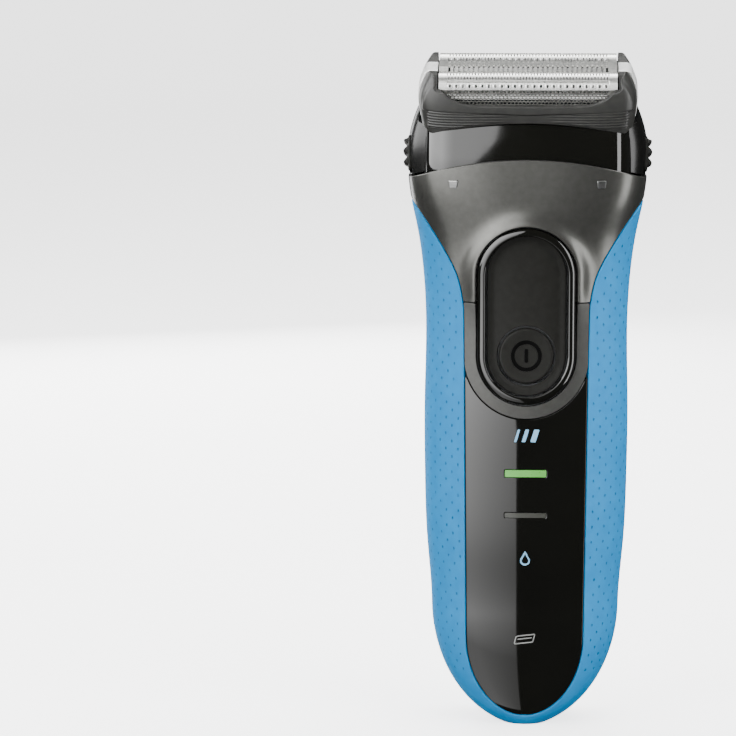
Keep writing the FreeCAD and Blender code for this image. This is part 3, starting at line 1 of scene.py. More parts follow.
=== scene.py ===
import bpy
import json
import math
import numpy as np
from mathutils import Matrix, Vector


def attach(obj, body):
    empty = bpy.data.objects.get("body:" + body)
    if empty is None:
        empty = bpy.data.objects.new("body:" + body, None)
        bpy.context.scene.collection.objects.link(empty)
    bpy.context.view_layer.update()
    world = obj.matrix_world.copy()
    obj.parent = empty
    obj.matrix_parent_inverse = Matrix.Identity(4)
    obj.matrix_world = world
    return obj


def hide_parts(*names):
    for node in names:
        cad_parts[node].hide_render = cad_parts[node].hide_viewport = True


# A foil shaver on a pale floor. Lengths in this file are millimetres in the shared frame, where the
# shaver stands on its toe and its front faces -Y. They become metres when a mesh is made.

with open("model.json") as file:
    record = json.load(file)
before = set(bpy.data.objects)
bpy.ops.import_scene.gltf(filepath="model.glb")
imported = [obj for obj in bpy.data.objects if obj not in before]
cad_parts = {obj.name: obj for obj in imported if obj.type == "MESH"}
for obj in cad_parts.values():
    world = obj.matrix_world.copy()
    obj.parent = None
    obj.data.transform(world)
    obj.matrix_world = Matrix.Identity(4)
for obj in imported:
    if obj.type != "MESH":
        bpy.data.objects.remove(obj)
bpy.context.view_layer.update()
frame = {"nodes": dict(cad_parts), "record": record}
nodes = frame["nodes"]
MM = 0.001

# ---------------------------------------------------------------- head coordinates
HEAD_CANT = math.radians(18.0)
HEAD_Y, HEAD_Z = -3.0, 149.6
HEAD = Matrix.Translation(Vector((0.0, HEAD_Y, HEAD_Z))) @ Matrix.Rotation(HEAD_CANT, 4, "X")


def to_head(points):
    """Points in head coordinates, turned into the shared frame. Works on any shape (..., 3)."""
    turn = np.array(HEAD.to_3x3())
    return points @ turn.T + np.array(HEAD.translation)


# ---------------------------------------------------------------- handle surface
TOE_HEIGHT, TOE_TRIM, TOE_HALF = 31.0, 1.2, 23.0
TOE_FRONT, TOE_BACK, TOE_FULLNESS = 14.0, 15.0, 0.35
TOE_TOP = TOE_HEIGHT - TOE_TRIM
TOE_ONLY, LOW_ROUNDNESS = 24.0, 2.3
# level, half width, front depth, back depth, roundness
STATIONS = np.array([
    (45.5, 24.2, 14.8, 15.9, 2.3),
    (62.0, 24.8, 15.2, 16.4, 2.3),
    (80.0, 24.9, 15.0, 16.4, 2.3),
    (99.0, 24.6, 14.0, 15.8, 2.3),
    (112.0, 25.3, 14.2, 15.5, 2.3),
    (122.0, 26.7, 15.1, 15.9, 2.6),
    (130.0, 28.3, 16.0, 16.3, 3.3),
    (137.0, 29.0, 16.4, 16.3, 3.7),
    (143.0, 29.0, 16.4, 15.9, 3.8),
])


def spline(xs, ys, x):
    """Natural cubic spline through (xs, ys), evaluated at x."""
    xs, ys, x = (np.asarray(a, float) for a in (xs, ys, x))
    n = len(xs)
    h = np.diff(xs)
    a = np.eye(n)
    b = np.zeros(n)
    for i in range(1, n - 1):
        a[i, i - 1], a[i, i], a[i, i + 1] = h[i - 1], 2 * (h[i - 1] + h[i]), h[i]
        b[i] = 6 * ((ys[i + 1] - ys[i]) / h[i] - (ys[i] - ys[i - 1]) / h[i - 1])
    m = np.linalg.solve(a, b)
    k = np.clip(np.searchsorted(xs, x) - 1, 0, n - 2)
    left, right = xs[k + 1] - x, x - xs[k]
    return ((m[k] * left ** 3 + m[k + 1] * right ** 3) / (6 * h[k])
            + (ys[k] / h[k] - m[k] * h[k] / 6) * left + (ys[k + 1] / h[k] - m[k + 1] * h[k] / 6) * right)


def toe_section(level):
    """Half width, front depth and back depth of the rounded toe, which is cut flat below."""
    cosine = 1 - (level + TOE_TRIM) / TOE_HEIGHT
    sine = np.sqrt(np.clip(1 - cosine ** 2, 1e-9, 1))
    full = sine ** TOE_FULLNESS
    return TOE_HALF * sine, TOE_FRONT * full, TOE_BACK * full


toe_knots = np.array([18.0, 21.0, TOE_ONLY, 27.0, 29.8])
toe_values = [*toe_section(toe_knots), np.full(len(toe_knots), LOW_ROUNDNESS)]


def handle_section(level):
    """Half width, front depth, back depth and roundness of the handle at each level."""
    level = np.asarray(level, float)
    knots = np.concatenate([toe_knots, STATIONS[:, 0]])
    out = [spline(knots, np.concatenate([toe_values[i], STATIONS[:, i + 1]]), level) for i in range(4)]
    toe = toe_section(np.minimum(level, TOE_TOP))
    low = level < TOE_ONLY
    for i, value in enumerate([*toe, LOW_ROUNDNESS]):
        out[i] = np.where(low, value, out[i])
    return out


def polar_section(angle, half_width, front, back, roundness):
    """Points of a superellipse at polar angles. The front is -Y."""
    c, s = np.cos(angle), np.sin(angle)
    depth = np.where(s > 0, back, front)
    r = (np.abs(c / half_width) ** roundness + np.abs(s / depth) ** roundness) ** (-1 / roundness)
    return r * c, r * s


def handle_grid(angles, levels, shrink_rows=0):
    """Grid of points over the handle: one row per level, one column per polar angle."""
    half, front, back, power = (a[:, None] for a in handle_section(levels))
    x, y = polar_section(angles[None, :], half, front, back, power)
    z = np.broadcast_to(np.asarray(levels)[:, None], x.shape)
    grid = np.stack([x, y, z], axis=-1)
    if shrink_rows:
        inner = [grid[0] * np.array([f, f, 1.0]) for f in np.linspace(0.25, 0.97, shrink_rows)]
        grid = np.concatenate([np.stack(inner), grid])
    return grid


def grid_normals(grid, around):
    """Outward unit normals of a grid by central differences."""
    if around:
        across = np.roll(grid, -1, 1) - np.roll(grid, 1, 1)
    else:
        across = np.gradient(grid, axis=1)
    up = np.gradient(grid, axis=0)
    normal = np.cross(across, up)
    return normal / np.maximum(np.linalg.norm(normal, axis=-1, keepdims=True), 1e-12)


# ---------------------------------------------------------------- outlines as distance fields
def smooth_path(points, steps=14):
    """A cubic path through (across, up) points, spaced by chord length."""
    pts = np.array(points, float)
    chord = np.concatenate([[0], np.cumsum(np.linalg.norm(np.diff(pts, axis=0), axis=1))])
    t = np.linspace(0, chord[-1], steps * (len(pts) - 1) + 1)
    return np.stack([spline(chord, pts[:, 0], t), spline(chord, pts[:, 1], t)], axis=1)


def polygon_distance(x, z, polygon):
    """Signed distance to a closed polygon, negative inside."""
    shape = x.shape
    px, pz = x.ravel(), z.ravel()
    best = np.full(px.shape, 1e9)
    inside = np.zeros(px.shape, bool)
    for (ax, az), (bx, bz) in zip(polygon, np.roll(polygon, -1, axis=0)):
        dx, dz = bx - ax, bz - az
        length = dx * dx + dz * dz
        if length < 1e-12:
            continue
        t = np.clip(((px - ax) * dx + (pz - az) * dz) / length, 0, 1)
        best = np.minimum(best, (px - ax - t * dx) ** 2 + (pz - az - t * dz) ** 2)
        crosses = (az > pz) != (bz > pz)
        if abs(dz) > 1e-12:
            inside ^= crosses & (px < ax + (pz - az) * dx / dz)
    return np.where(inside, -np.sqrt(best), np.sqrt(best)).reshape(shape)


def window_polygon(low_half, low_level, bottom):
    """Front-view outline of the opening in the grip, where the hard panels are."""
    side = min(15.2, low_half + 0.8)
    upper = smooth_path([(31.0, 133.0), (24.2, 124.0), (19.6, 116.8), (16.6, 110.6), (side, 103.6)])
    turn = np.linspace(0, math.pi / 2, 22)[:-1]
    lower = np.stack([low_half * np.cos(turn), low_level - (low_level - bottom) * np.sin(turn)], axis=1)
    right = np.concatenate([[(31.0, 150.0)], upper, lower])
    left = right[::-1] * np.array([-1.0, 1.0])
    return np.concatenate([right, [(0.0, bottom)], left])


FRONT_WINDOW = window_polygon(14.4, 22.5, 2.6)
REAR_WINDOW = window_polygon(12.6, 44.0, 31.0)
SWITCH_LEVEL, SWITCH_TOP, RING_OUT, RING_IN, BEZEL_R, SEAM = 92.3, 111.8, 12.0, 9.65, 15.2, 105.0
ARCH_R, ARCH_TOP, ARCH_HALF, ARCH_END = 88.75, 139.8, 28.5, 135.1
REAR_SEAM, LOWER_TOP, GAP = 107.0, 93.0, 0.12


def racetrack(x, z, radius):
    """Signed distance to the long upright oval that the switch parts share."""
    middle, half = (SWITCH_LEVEL + SWITCH_TOP) / 2, (SWITCH_TOP - SWITCH_LEVEL) / 2
    return np.hypot(x, np.maximum(np.abs(z - middle) - half, 0)) - radius


def arch(x, z):
    """Distance above the arched top edge of the shoulder, which runs level past its ends."""
    bow = np.hypot(x, z - (ARCH_TOP - ARCH_R)) - ARCH_R
    return np.where(np.abs(x) > ARCH_HALF, np.minimum(z - ARCH_END, bow), bow)


def bezel_area(x, z):
    """The area round the switch: a half disc below the button's middle and a wide strip above it."""
    below = np.hypot(x, z - SWITCH_LEVEL) - BEZEL_R
    return np.where(z < SWITCH_LEVEL, below, np.abs(x) - BEZEL_R - 4.0)


def round_box(x, z, cx, cz, half_x, half_z, radius):
    """Signed distance to a rectangle with rounded corners."""
    dx, dz = np.abs(x - cx) - half_x + radius, np.abs(z - cz) - half_z + radius
    return np.hypot(np.maximum(dx, 0), np.maximum(dz, 0)) + np.minimum(np.maximum(dx, dz), 0) - radius


def most(*fields):
    """Intersection of areas given as signed distances."""
    out = fields[0]
    for field in fields[1:]:
        out = np.maximum(out, field)
    return out


# ---------------------------------------------------------------- mesh making
def new_object(name, verts, faces, normals=None):
    """A smooth mesh object, made from millimetres."""
    mesh = bpy.data.meshes.new(name)
    mesh.from_pydata([tuple(v * MM) for v in np.asarray(verts, float)], [], faces)
    mesh.update()
    mesh.polygons.foreach_set("use_smooth", [True] * len(mesh.polygons))
    if normals is not None:
        n = np.asarray(normals, float)
        n /= np.maximum(np.linalg.norm(n, axis=1, keepdims=True), 1e-12)
        mesh.normals_split_custom_set_from_vertices([tuple(v) for v in n])
    obj = bpy.data.objects.new(name, mesh)
    bpy.context.scene.collection.objects.link(obj)
    return obj


def patch(name, grid, field, around=False, radius=0.25, depth=1.2, relief=None, rings=3):
    """A skin piece: the part of a grid where field is below 0, with rounded edges of that radius.

    field is the distance to the piece's outline. The flat part ends one radius inside it, and rings
    of faces then roll over and go depth deep. relief is a height added along the normal.
    """
    normal = grid_normals(grid, around)
    if relief is not None:
        grid = grid + normal * relief[..., None]
        normal = grid_normals(grid, around)
    rows, cols = field.shape
    level = field + radius
    level = np.where(np.abs(level) < 1e-5, 1e-5, level)
    # direction of growing field on the surface
    across = (np.roll(grid, -1, 1) - np.roll(grid, 1, 1)) / 2 if around else np.gradient(grid, axis=1)
    up = np.gradient(grid, axis=0)
    f_across = (np.roll(field, -1, 1) - np.roll(field, 1, 1)) / 2 if around else np.gradient(field, axis=1)
    f_up = np.gradient(field, axis=0)
    aa, bb, ab = (across ** 2).sum(-1), (up ** 2).sum(-1), (across * up).sum(-1)
    det = np.maximum(aa * bb - ab ** 2, 1e-12)
    slope = (((f_across * bb - f_up * ab) / det)[..., None] * across
             + ((f_up * aa - f_across * ab) / det)[..., None] * up)
    slope /= np.maximum(np.linalg.norm(slope, axis=-1, keepdims=True), 1e-9)

    inside = level < 0
    index = -np.ones((rows, cols), int)
    index[inside] = np.arange(inside.sum())
    verts, normals, faces = list(grid[inside]), list(normal[inside]), []
    edge_vertex, outward, borders = {}, {}, []

    def crossing(a, b):
        """The vertex where the outline crosses the grid edge from an inside to an outside corner."""
        key = (a, b)
        if key not in edge_vertex:
            t = level[a] / (level[a] - level[b])
            edge_vertex[key] = len(verts)
            outward[len(verts)] = slope[a] * (1 - t) + slope[b] * t
            verts.append(grid[a] * (1 - t) + grid[b] * t)
            normals.append(normal[a] * (1 - t) + normal[b] * t)
        return edge_vertex[key]

    last = cols if around else cols - 1
    count = inside.astype(int)
    right = np.roll(count, -1, 1)
    total = (count + right)[:-1] + (count + right)[1:]
    total = total[:, :last]
    for j, i in np.argwhere(total == 4):
        k = (i + 1) % cols
        faces.append((index[j, i], index[j, k], index[j + 1, k], index[j + 1, i]))
    for j, i in np.argwhere((total > 0) & (total < 4)):
        k = (i + 1) % cols
        corners = [(j, i), (j, k), (j + 1, k), (j + 1, i)]
        polygon, crossings = [], []
        for n, a in enumerate(corners):
            b = corners[(n + 1) % 4]
            if inside[a]:
                polygon.append(index[a])
            if inside[a] != inside[b]:
                v = crossing(a, b) if inside[a] else crossing(b, a)
                polygon.append(v)
                crossings.append((bool(inside[a]), v))
        for n, (leaves, v) in enumerate(crossings):
            if leaves:
                borders.append((v, crossings[(n + 1) % len(crossings)][1]))
        if len(polygon) >= 3:
            faces.append(tuple(polygon))
    # rounded edge and side wall
    steps = [(math.sin(a), 1 - math.cos(a), a) for a in np.linspace(0, math.pi / 2, rings + 1)[1:]]
    chain = {v: [v] for pair in borders for v in pair}
    for v, line in chain.items():
        t = outward[v] - normals[v] * np.dot(outward[v], normals[v])
        t /= max(np.linalg.norm(t), 1e-9)
        n = normals[v] / max(np.linalg.norm(normals[v]), 1e-9)
        p = verts[v]
        for out, down, angle in steps:
            line.append(len(verts))
            verts.append(p + t * out * radius - n * down * radius)
            normals.append(n * math.cos(angle) + t * math.sin(angle))
        line.append(len(verts))
        verts.append(p + t * radius - n * depth)
        normals.append(t)
    for a, b in borders:
        for k in range(rings + 1):
            faces.append((chain[b][k], chain[a][k], chain[a][k + 1], chain[b][k + 1]))
    return new_object(name, verts, faces, normals)


# ---------------------------------------------------------------- materials
def material(name, base, accent=None, roughness=0.4, spread=0.08, metallic=0.0, scale=900.0, bump=0.0,
             coat=0.0, coat_roughness=0.05, glow=None, stretch=None, gloss=0.5, ior=1.5):
    """A finish whose colour and roughness wander with noise, with a fine bump of its own scale."""
    mat = bpy.data.materials.new(name)
    mat.use_nodes = True
    tree = mat.node_tree
    link = tree.links.new
    shader = tree.nodes["Principled BSDF"]
    shader.inputs["Metallic"].default_value = metallic
    shader.inputs["IOR"].default_value = ior
    shader.inputs["Coat Weight"].default_value = coat
    shader.inputs["Coat Roughness"].default_value = coat_roughness
    shader.inputs["Specular IOR Level"].default_value = gloss
    coords = tree.nodes.new("ShaderNodeTexCoord")
    mapping = tree.nodes.new("ShaderNodeMapping")
    mapping.inputs["Scale"].default_value = stretch or (1.0, 1.0, 1.0)
    link(coords.outputs["Object"], mapping.inputs["Vector"])
    broad = tree.nodes.new("ShaderNodeTexNoise")
    broad.inputs["Scale"].default_value = scale / 8
    broad.inputs["Detail"].default_value = 3.0
    fine = tree.nodes.new("ShaderNodeTexNoise")
    fine.inputs["Scale"].default_value = scale
    fine.inputs["Detail"].default_value = 2.0
    for noise in (broad, fine):
        link(mapping.outputs["Vector"], noise.inputs["Vector"])
    ramp = tree.nodes.new("ShaderNodeValToRGB")
    ramp.color_ramp.elements[0].position = 0.3
    ramp.color_ramp.elements[1].position = 0.7
    ramp.color_ramp.elements[0].color = (*base, 1.0)
    ramp.color_ramp.elements[1].color = (*(accent or [min(1.0, c * 1.12) for c in base]), 1.0)
    link(broad.outputs["Fac"], ramp.inputs["Fac"])
    link(ramp.outputs["Color"], shader.inputs["Base Color"])
    rough = tree.nodes.new("ShaderNodeMapRange")
    rough.inputs["To Min"].default_value = max(0.02, roughness - spread)
    rough.inputs["To Max"].default_value = roughness + spread
    link(fine.outputs["Fac"], rough.inputs["Value"])
    link(rough.outputs["Result"], shader.inputs["Roughness"])
    if bump:
        relief = tree.nodes.new("ShaderNodeBump")
        relief.inputs["Strength"].default_value = bump
        relief.inputs["Distance"].default_value = 0.00005
        link(fine.outputs["Fac"], relief.inputs["Height"])
        link(relief.outputs["Normal"], shader.inputs["Normal"])
    if glow:
        shader.inputs["Emission Color"].default_value = (*glow[0], 1.0)
        shader.inputs["Emission Strength"].default_value = glow[1]
    return mat


def linear(r, g, b):
    """An sRGB colour given from 0 to 255, as linear values."""
    shares = (r / 255, g / 255, b / 255)
    return tuple(c / 12.92 if c < 0.04045 else ((c + 0.055) / 1.055) ** 2.4 for c in shares)


def paint(obj, mat):
    obj.data.materials.clear()
    obj.data.materials.append(mat)


finish = {
    "soft_blue_grip": material("soft_blue_grip", linear(6, 122, 184), linear(10, 130, 192), roughness=0.66,
                               scale=2500, bump=0.3, gloss=0.16),
    # the pits' darker blue is painted shade of the dimples, not a colour of the rubber
    "shaded_grip_pits": material("shaded_grip_pits", linear(4, 90, 140), linear(8, 98, 148), roughness=0.7, scale=3000,
                          bump=0.1, gloss=0.2),
    "gunmetal_lacquer": material("gunmetal_lacquer", linear(74, 74, 71), linear(80, 80, 77), roughness=0.3,
                                 spread=0.03, metallic=0.75, scale=5000, bump=0.05, coat=0.25,
                                 coat_roughness=0.16),
    "gunmetal_satin": material("gunmetal_satin", linear(60, 60, 58), linear(66, 66, 64), roughness=0.48,
                               spread=0.03, metallic=0.6, scale=5000, bump=0.05),
    "gloss_black": material("gloss_black", linear(10, 10, 8), linear(14, 14, 11), roughness=0.05, spread=0.02,
                            scale=300, ior=1.6),
    "satin_black": material("satin_black", linear(9, 9, 8), linear(13, 13, 12), roughness=0.24, spread=0.04,
                            scale=4000, bump=0.03, gloss=0.4),
    "ink_black": material("ink_black", linear(1, 1, 1), linear(2, 2, 2), roughness=0.5, scale=3000,
                          gloss=0.05),
    "matt_dark_grey": material("matt_dark_grey", linear(17, 17, 15), linear(22, 22, 20), roughness=0.5,
                               scale=5000, bump=0.3, gloss=0.14),
    "housing_plastic": material("housing_plastic", linear(70, 72, 74), roughness=0.5, scale=1500, bump=0.2),
    "smoked_light_guide": material("smoked_light_guide", linear(48, 49, 45), linear(58, 59, 54),
                                   roughness=0.3, scale=800, coat=0.3),
    "charge_glow": material("charge_glow", linear(70, 130, 56), linear(92, 160, 76), roughness=0.3,
                            scale=700, glow=(linear(84, 190, 62), 0.34)),
    "bright_metal": material("bright_metal", linear(236, 236, 234), linear(246, 246, 244), roughness=0.3,
                             metallic=0.45, scale=2500, bump=0.1, stretch=(1.0, 12.0, 1.0)),
    "steel": material("steel", linear(150, 151, 150), linear(172, 172, 170), roughness=0.3, metallic=1.0,
                      scale=1800, bump=0.15, stretch=(1.0, 6.0, 6.0)),
    "comb_steel": material("comb_steel", linear(168, 168, 165), linear(190, 190, 186), roughness=0.3,
                           metallic=0.9, scale=2200, bump=0.15, stretch=(1.0, 5.0, 5.0)),
    # painted light on the foil's one steel: the band drawn lighter as painted highlight, the wall drawn
    # darker as painted shade
    "foil_band_highlight": material("foil_band_highlight", linear(228, 228, 225), linear(240, 240, 237), roughness=0.3,
                          metallic=0.4, scale=2200, bump=0.15, stretch=(1.0, 5.0, 5.0)),
    "foil_wall_shade": material("foil_wall_shade", linear(120, 120, 116), linear(142, 142, 138), roughness=0.34,
                          metallic=0.8, scale=2200, bump=0.15, stretch=(1.0, 5.0, 5.0)),
    "foil_steel": material("foil_steel", linear(206, 206, 202), linear(228, 228, 224), roughness=0.3,
                           metallic=0.9, scale=2200, bump=0.15, stretch=(1.0, 5.0, 5.0)),
    "cassette_plastic": material("cassette_plastic", linear(38, 38, 37), linear(45, 45, 43), roughness=0.36,
                                 scale=3500, bump=0.15, gloss=0.42),
    "seal_rubber": material("seal_rubber", linear(22, 22, 24), roughness=0.7, scale=1200, bump=0.3),
    "board_green": material("board_green", linear(20, 84, 52), linear(30, 104, 62), roughness=0.35,
                            scale=900),
    "copper_winding": material("copper_winding", linear(184, 104, 58), linear(206, 128, 76), roughness=0.3,
                               metallic=1.0, scale=2500, bump=0.4, stretch=(1.0, 1.0, 14.0)),
    "cell_wrap": material("cell_wrap", linear(34, 104, 66), linear(42, 120, 76), roughness=0.35, scale=700,
                          coat=0.4),
    "magnet_iron": material("magnet_iron", linear(66, 66, 70), linear(80, 80, 84), roughness=0.55,
                            metallic=0.8, scale=1500, bump=0.3),
    "contact_gold": material("contact_gold", linear(214, 172, 92), linear(230, 190, 110), roughness=0.22,
                             metallic=1.0, scale=1600, bump=0.1),
    "print_grey": material("print_grey", linear(120, 121, 119), linear(132, 133, 131), roughness=0.5,
                           scale=4000),
    "print_blue": material("print_blue", linear(112, 168, 206), linear(126, 180, 214), roughness=0.5,
                           scale=4000),
}

# ---------------------------------------------------------------- skins of the handle
FRONT, REAR = -math.pi / 2, math.pi / 2


def angles_for(centre, half_span, count):
    return centre + np.linspace(-half_span, half_span, count)


def finished(obj, look, body, cad=None):
    """Gives a piece its finish and its body, and hides the CAD node that it stands for."""
    paint(obj, finish[look])
    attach(obj, body)
    if cad:
        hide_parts(cad)
    return obj


def skin(name, angles, levels, field, cad, look, body="handle", relief=None, **shape):
    """A skin piece over the handle that stands for a CAD node. field takes (x, y, z), relief (x, z)."""
    grid = handle_grid(angles, levels)
    x, y, z = grid[..., 0], grid[..., 1], grid[..., 2]
    raised = None if relief is None else relief(x, z)
    obj = patch(name, grid, field(x, y, z), relief=raised, **shape)
    return finished(obj, look, body, cad)


def front_area(x, z):
    """The opening in the front of the grip, less the gap round the panels."""
    return polygon_distance(x, z, FRONT_WINDOW) + GAP


def rear_area(x, z):
    """The opening in the back of the grip, less the gap round the panels."""
    return polygon_distance(x, z, REAR_WINDOW) + GAP


def mound(x, z):
    """The soft rise of the panels around the switch ring."""
    d = np.maximum(racetrack(x, z, RING_OUT), 0)
    above = np.clip((z - 97.0) / 14.0, 0, 1)
    return (0.15 + 1.3 * above ** 2 * (3 - 2 * above)) * np.exp(-(d / 2.6) ** 2)


# piece: the CAD node, level, half width, half height, finish, and how far it lies under the surface
LIGHT_BARS = {
    "charge_light": ("charge_light_guide", 63.7, 5.0, 0.85, "charge_glow", 0.0),
    "low_light": ("low_charge_light_guide", 53.4, 5.0, 0.6, "smoked_light_guide", 0.0),
    "renew_light": ("renew_light_guide", 22.5, 2.9, 1.7, "gloss_black", 0.4),
}
LIGHT_GAP = 0.04


def light_area(x, z):
    """The holes in the glossy panel for the lights that show at its surface."""
    bars = [round_box(x, z, 0.0, level, half + LIGHT_GAP, height + LIGHT_GAP, min(0.3, height))
            for _, level, half, height, _, sunk in LIGHT_BARS.values() if sunk == 0.0]
    return np.minimum.reduce(bars)


def grip_field(x, y, z):
    """Distance into the openings of the grip, negative on the soft part itself."""
    front = -polygon_distance(x, z, FRONT_WINDOW)
    rear = -polygon_distance(x, z, REAR_WINDOW)
    return np.where(y < 0, front, rear)


def make_grip():
    """The soft shell from toe to shoulder, with both openings and the hole for the power socket."""
    angles = np.linspace(-math.pi, math.pi, 301)[:-1]
    rise = np.concatenate([[0.0, 0.12, 0.3, 0.55, 0.85], np.arange(1.2, 134.0, 0.45)])
    grid = handle_grid(angles, rise, shrink_rows=16)
    x, y, z = grid[..., 0], grid[..., 1], grid[..., 2]
    socket = -round_box(x, y, 0.0, 0.0, 4.9, 3.6, 0.6)
    field = np.where(z > 0.01, grip_field(x, y, z), socket)
    obj = patch("grip", grid, field, around=True, radius=0.3, depth=1.5)
    finished(obj, "soft_blue_grip", "handle", "grip_sleeve")


def make_grip_pits():
    """Small pits in staggered rows over the soft grip, each drawn as a dished oval in a darker blue that is
    painted shade.
    """
    verts, normals, faces = [], [], []
    columns, row_step, radius, sides, stretch, margin = 44, 1.9, 0.24, 9, 1.7, 1.2
    for row, level in enumerate(np.arange(14.0, 126.0, row_step)):
        angles = np.linspace(0, 2 * math.pi, columns, endpoint=False) + (row % 2) * math.pi / columns
        span = handle_grid(angles, np.array([level - 0.4, level, level + 0.4]))
        normal = grid_normals(span, True)[1]
        for i, p in enumerate(span[1]):
            x, y, z = (np.array([v]) for v in p)
            if grip_field(x, y, z)[0] > -margin:
                continue
            n = normal[i]
            side = np.cross([0, 0, 1.0], n)
            side /= np.linalg.norm(side)
            up = np.cross(n, side)
            first = len(verts)
            verts.append(p + n * 0.012)
            normals.append(n)
            for k in range(sides):
                a = 2 * math.pi * k / sides
                out = side * math.cos(a) + up * math.sin(a)
                oval = side * math.cos(a) + up * math.sin(a) * stretch
                verts.append(p + n * 0.02 + oval * radius)
                normals.append(n * 0.6 - out * 0.8)
            for k in range(sides):
                faces.append((first, first + 1 + k, first + 1 + (k + 1) % sides))
    obj = new_object("shaded_grip_pits", verts, faces, normals)
    finished(obj, "shaded_grip_pits", "handle")


def make_front_panels():
    """Three panels that share the front opening: shoulder, switch bezel and glossy lower panel."""
    wide = angles_for(FRONT, math.pi / 2, 330)
    narrow = angles_for(FRONT, math.radians(72), 250)
    skin("shoulder", wide, np.arange(99.0, 141.0, 0.36),
         lambda x, y, z: most(front_area(x, z), arch(x, z), SEAM + GAP - z, y + 0.05,
                              -racetrack(x, z, RING_OUT + GAP)),
         "shoulder_panel", "gunmetal_lacquer", relief=mound, radius=0.25, depth=1.4)
    skin("bezel", narrow, np.arange(74.0, 106.0, 0.3),
         lambda x, y, z: most(front_area(x, z), z - SEAM, bezel_area(x, z),
                              -racetrack(x, z, RING_OUT + GAP)),
         "switch_bezel", "gunmetal_satin", relief=mound, radius=0.15, depth=1.4)
    skin("lower_front", angles_for(FRONT, math.radians(68), 190), np.arange(3.0, 94.0, 0.36),
         lambda x, y, z: most(front_area(x, z), -bezel_area(x, z) + GAP, -light_area(x, z),
                              z - LOWER_TOP),
         "lower_panel", "gloss_black", radius=0.25, depth=1.4)


BUTTON_R, BUTTON_GAP, SIGN_R, SIGN_STROKE = 6.75, 0.45, 3.3, 0.46


def dish(x, z):
    """The power button's face: sunk below the panels, and deepest at its middle."""
    return -0.62 - 0.35 * np.maximum(0, 1 - (np.hypot(x, z - SWITCH_LEVEL) / 6.0) ** 2)


def ring_crown(x, z):
    """The ring rises steeply from outside to a crest near its inner edge."""
    inward = racetrack(x, z, RING_IN + 0.7)
    return 1.35 - np.where(inward > 0, 0.3, 0.5) * inward ** 2


def make_switch():
    """The raised oval ring, the sunk pad inside it, and the round button with its sign."""
    span = angles_for(FRONT, math.radians(52), 300)
    rise = np.arange(78.0, 126.0, 0.2)
    skin("ring", span, rise,
         lambda x, y, z: most(racetrack(x, z, RING_OUT), -racetrack(x, z, RING_IN)),
         "switch_ring", "gloss_black", relief=ring_crown, radius=0.5, depth=2.2)
    skin("pad", span, rise,
         lambda x, y, z: most(racetrack(x, z, RING_IN - 0.05),
                              BUTTON_R + BUTTON_GAP - np.hypot(x, z - SWITCH_LEVEL)),
         "switch_pad", "matt_dark_grey",
         relief=lambda x, z: -0.9 + 0.35 * np.exp(-(racetrack(x, z, RING_IN) / 1.2) ** 2),
         radius=0.15, depth=0.5)
    button_span, button_rise = angles_for(FRONT, math.radians(30), 200), np.arange(85.0, 99.6, 0.12)
    skin("power_button", button_span, button_rise,
         lambda x, y, z: np.hypot(x, z - SWITCH_LEVEL) - BUTTON_R,
         "power_button", "matt_dark_grey", body="power_button", relief=dish, radius=0.6, depth=1.05)
    skin("power_sign", button_span, button_rise,
         lambda x, y, z: np.minimum(np.abs(np.hypot(x, z - SWITCH_LEVEL) - SIGN_R) - SIGN_STROKE,
                                    round_box(x, z, 0.0, SWITCH_LEVEL, 0.45, SIGN_R / 2, 0.3)),
         None, "ink_black", body="power_button", relief=lambda x, z: dish(x, z) + 0.16,
         radius=0.16, depth=0.25)


def make_lights():
    """Two bars flush with the panel, the upper one lit, and one guide just under it."""
    span = angles_for(FRONT, math.radians(30), 220)
    for name, (cad, level, half, height, look, sunk) in LIGHT_BARS.items():
        skin(name, span, np.arange(level - height - 0.6, level + height + 0.6, 0.1),
             lambda x, y, z, c=level, a=half, b=height: round_box(x, z, 0.0, c, a, b, min(0.3, b)),
             cad, look, relief=lambda x, z, d=sunk: np.full(x.shape, -d), radius=0.04, depth=0.7)


def drop_shape(x, z, level):
    """Outline of a water drop: a round bottom that narrows to a point."""
    height = z - level
    round_part = np.hypot(x, height + 0.35) - 1.0
    sides = np.maximum(np.abs(x) * 0.873 + (height - 1.7) * 0.488, 0.14 - height)
    return np.minimum(round_part, sides)


def cartridge_sign(x, z):
    """A small slanted cartridge, drawn as an outline with one bar across it."""
    level = LIGHT_BARS["renew_light"][1]
    across, up = x - 0.25 * (z - level), z - level - 0.12 * x
    outline = np.abs(round_box(across, up, 0.0, 0.0, 2.2, 0.95, 0.3)) - 0.14
    bar = round_box(across, up, 0.0, 0.15, 1.7, 0.14, 0.1)
    return np.minimum(outline, bar)


def bars_sign(x, z, level=73.0):
    """Three slanted bars that grow wider to the right."""
    lean = x - 0.3 * (z - level)
    return np.minimum.reduce([round_box(lean, z, at, level, half, 1.55, 0.2)
                              for at, half in ((-2.1, 0.3), (-0.1, 0.45), (2.2, 0.65))])


def make_prints():
    """Plain printed signs, a hair above the glossy panel: three bars, a drop and a cartridge."""
    span = angles_for(FRONT, math.radians(24), 260)
    signs = (("panel_mark", np.arange(70.5, 75.5, 0.12), bars_sign, "print_blue"),
             ("drop_mark", np.arange(40.0, 45.0, 0.12), lambda x, z: np.abs(drop_shape(x, z, 42.5)) - 0.2,
              "print_blue"),
             ("renew_mark", np.arange(20.4, 24.6, 0.1), cartridge_sign, "print_grey"))
    for name, rise, sign, look in signs:
        skin(name, span, rise, lambda x, y, z, drawn=sign: drawn(x, z), None, look,
             relief=lambda x, z: np.full(x.shape, 0.03), radius=0.02, depth=0.05, rings=1)


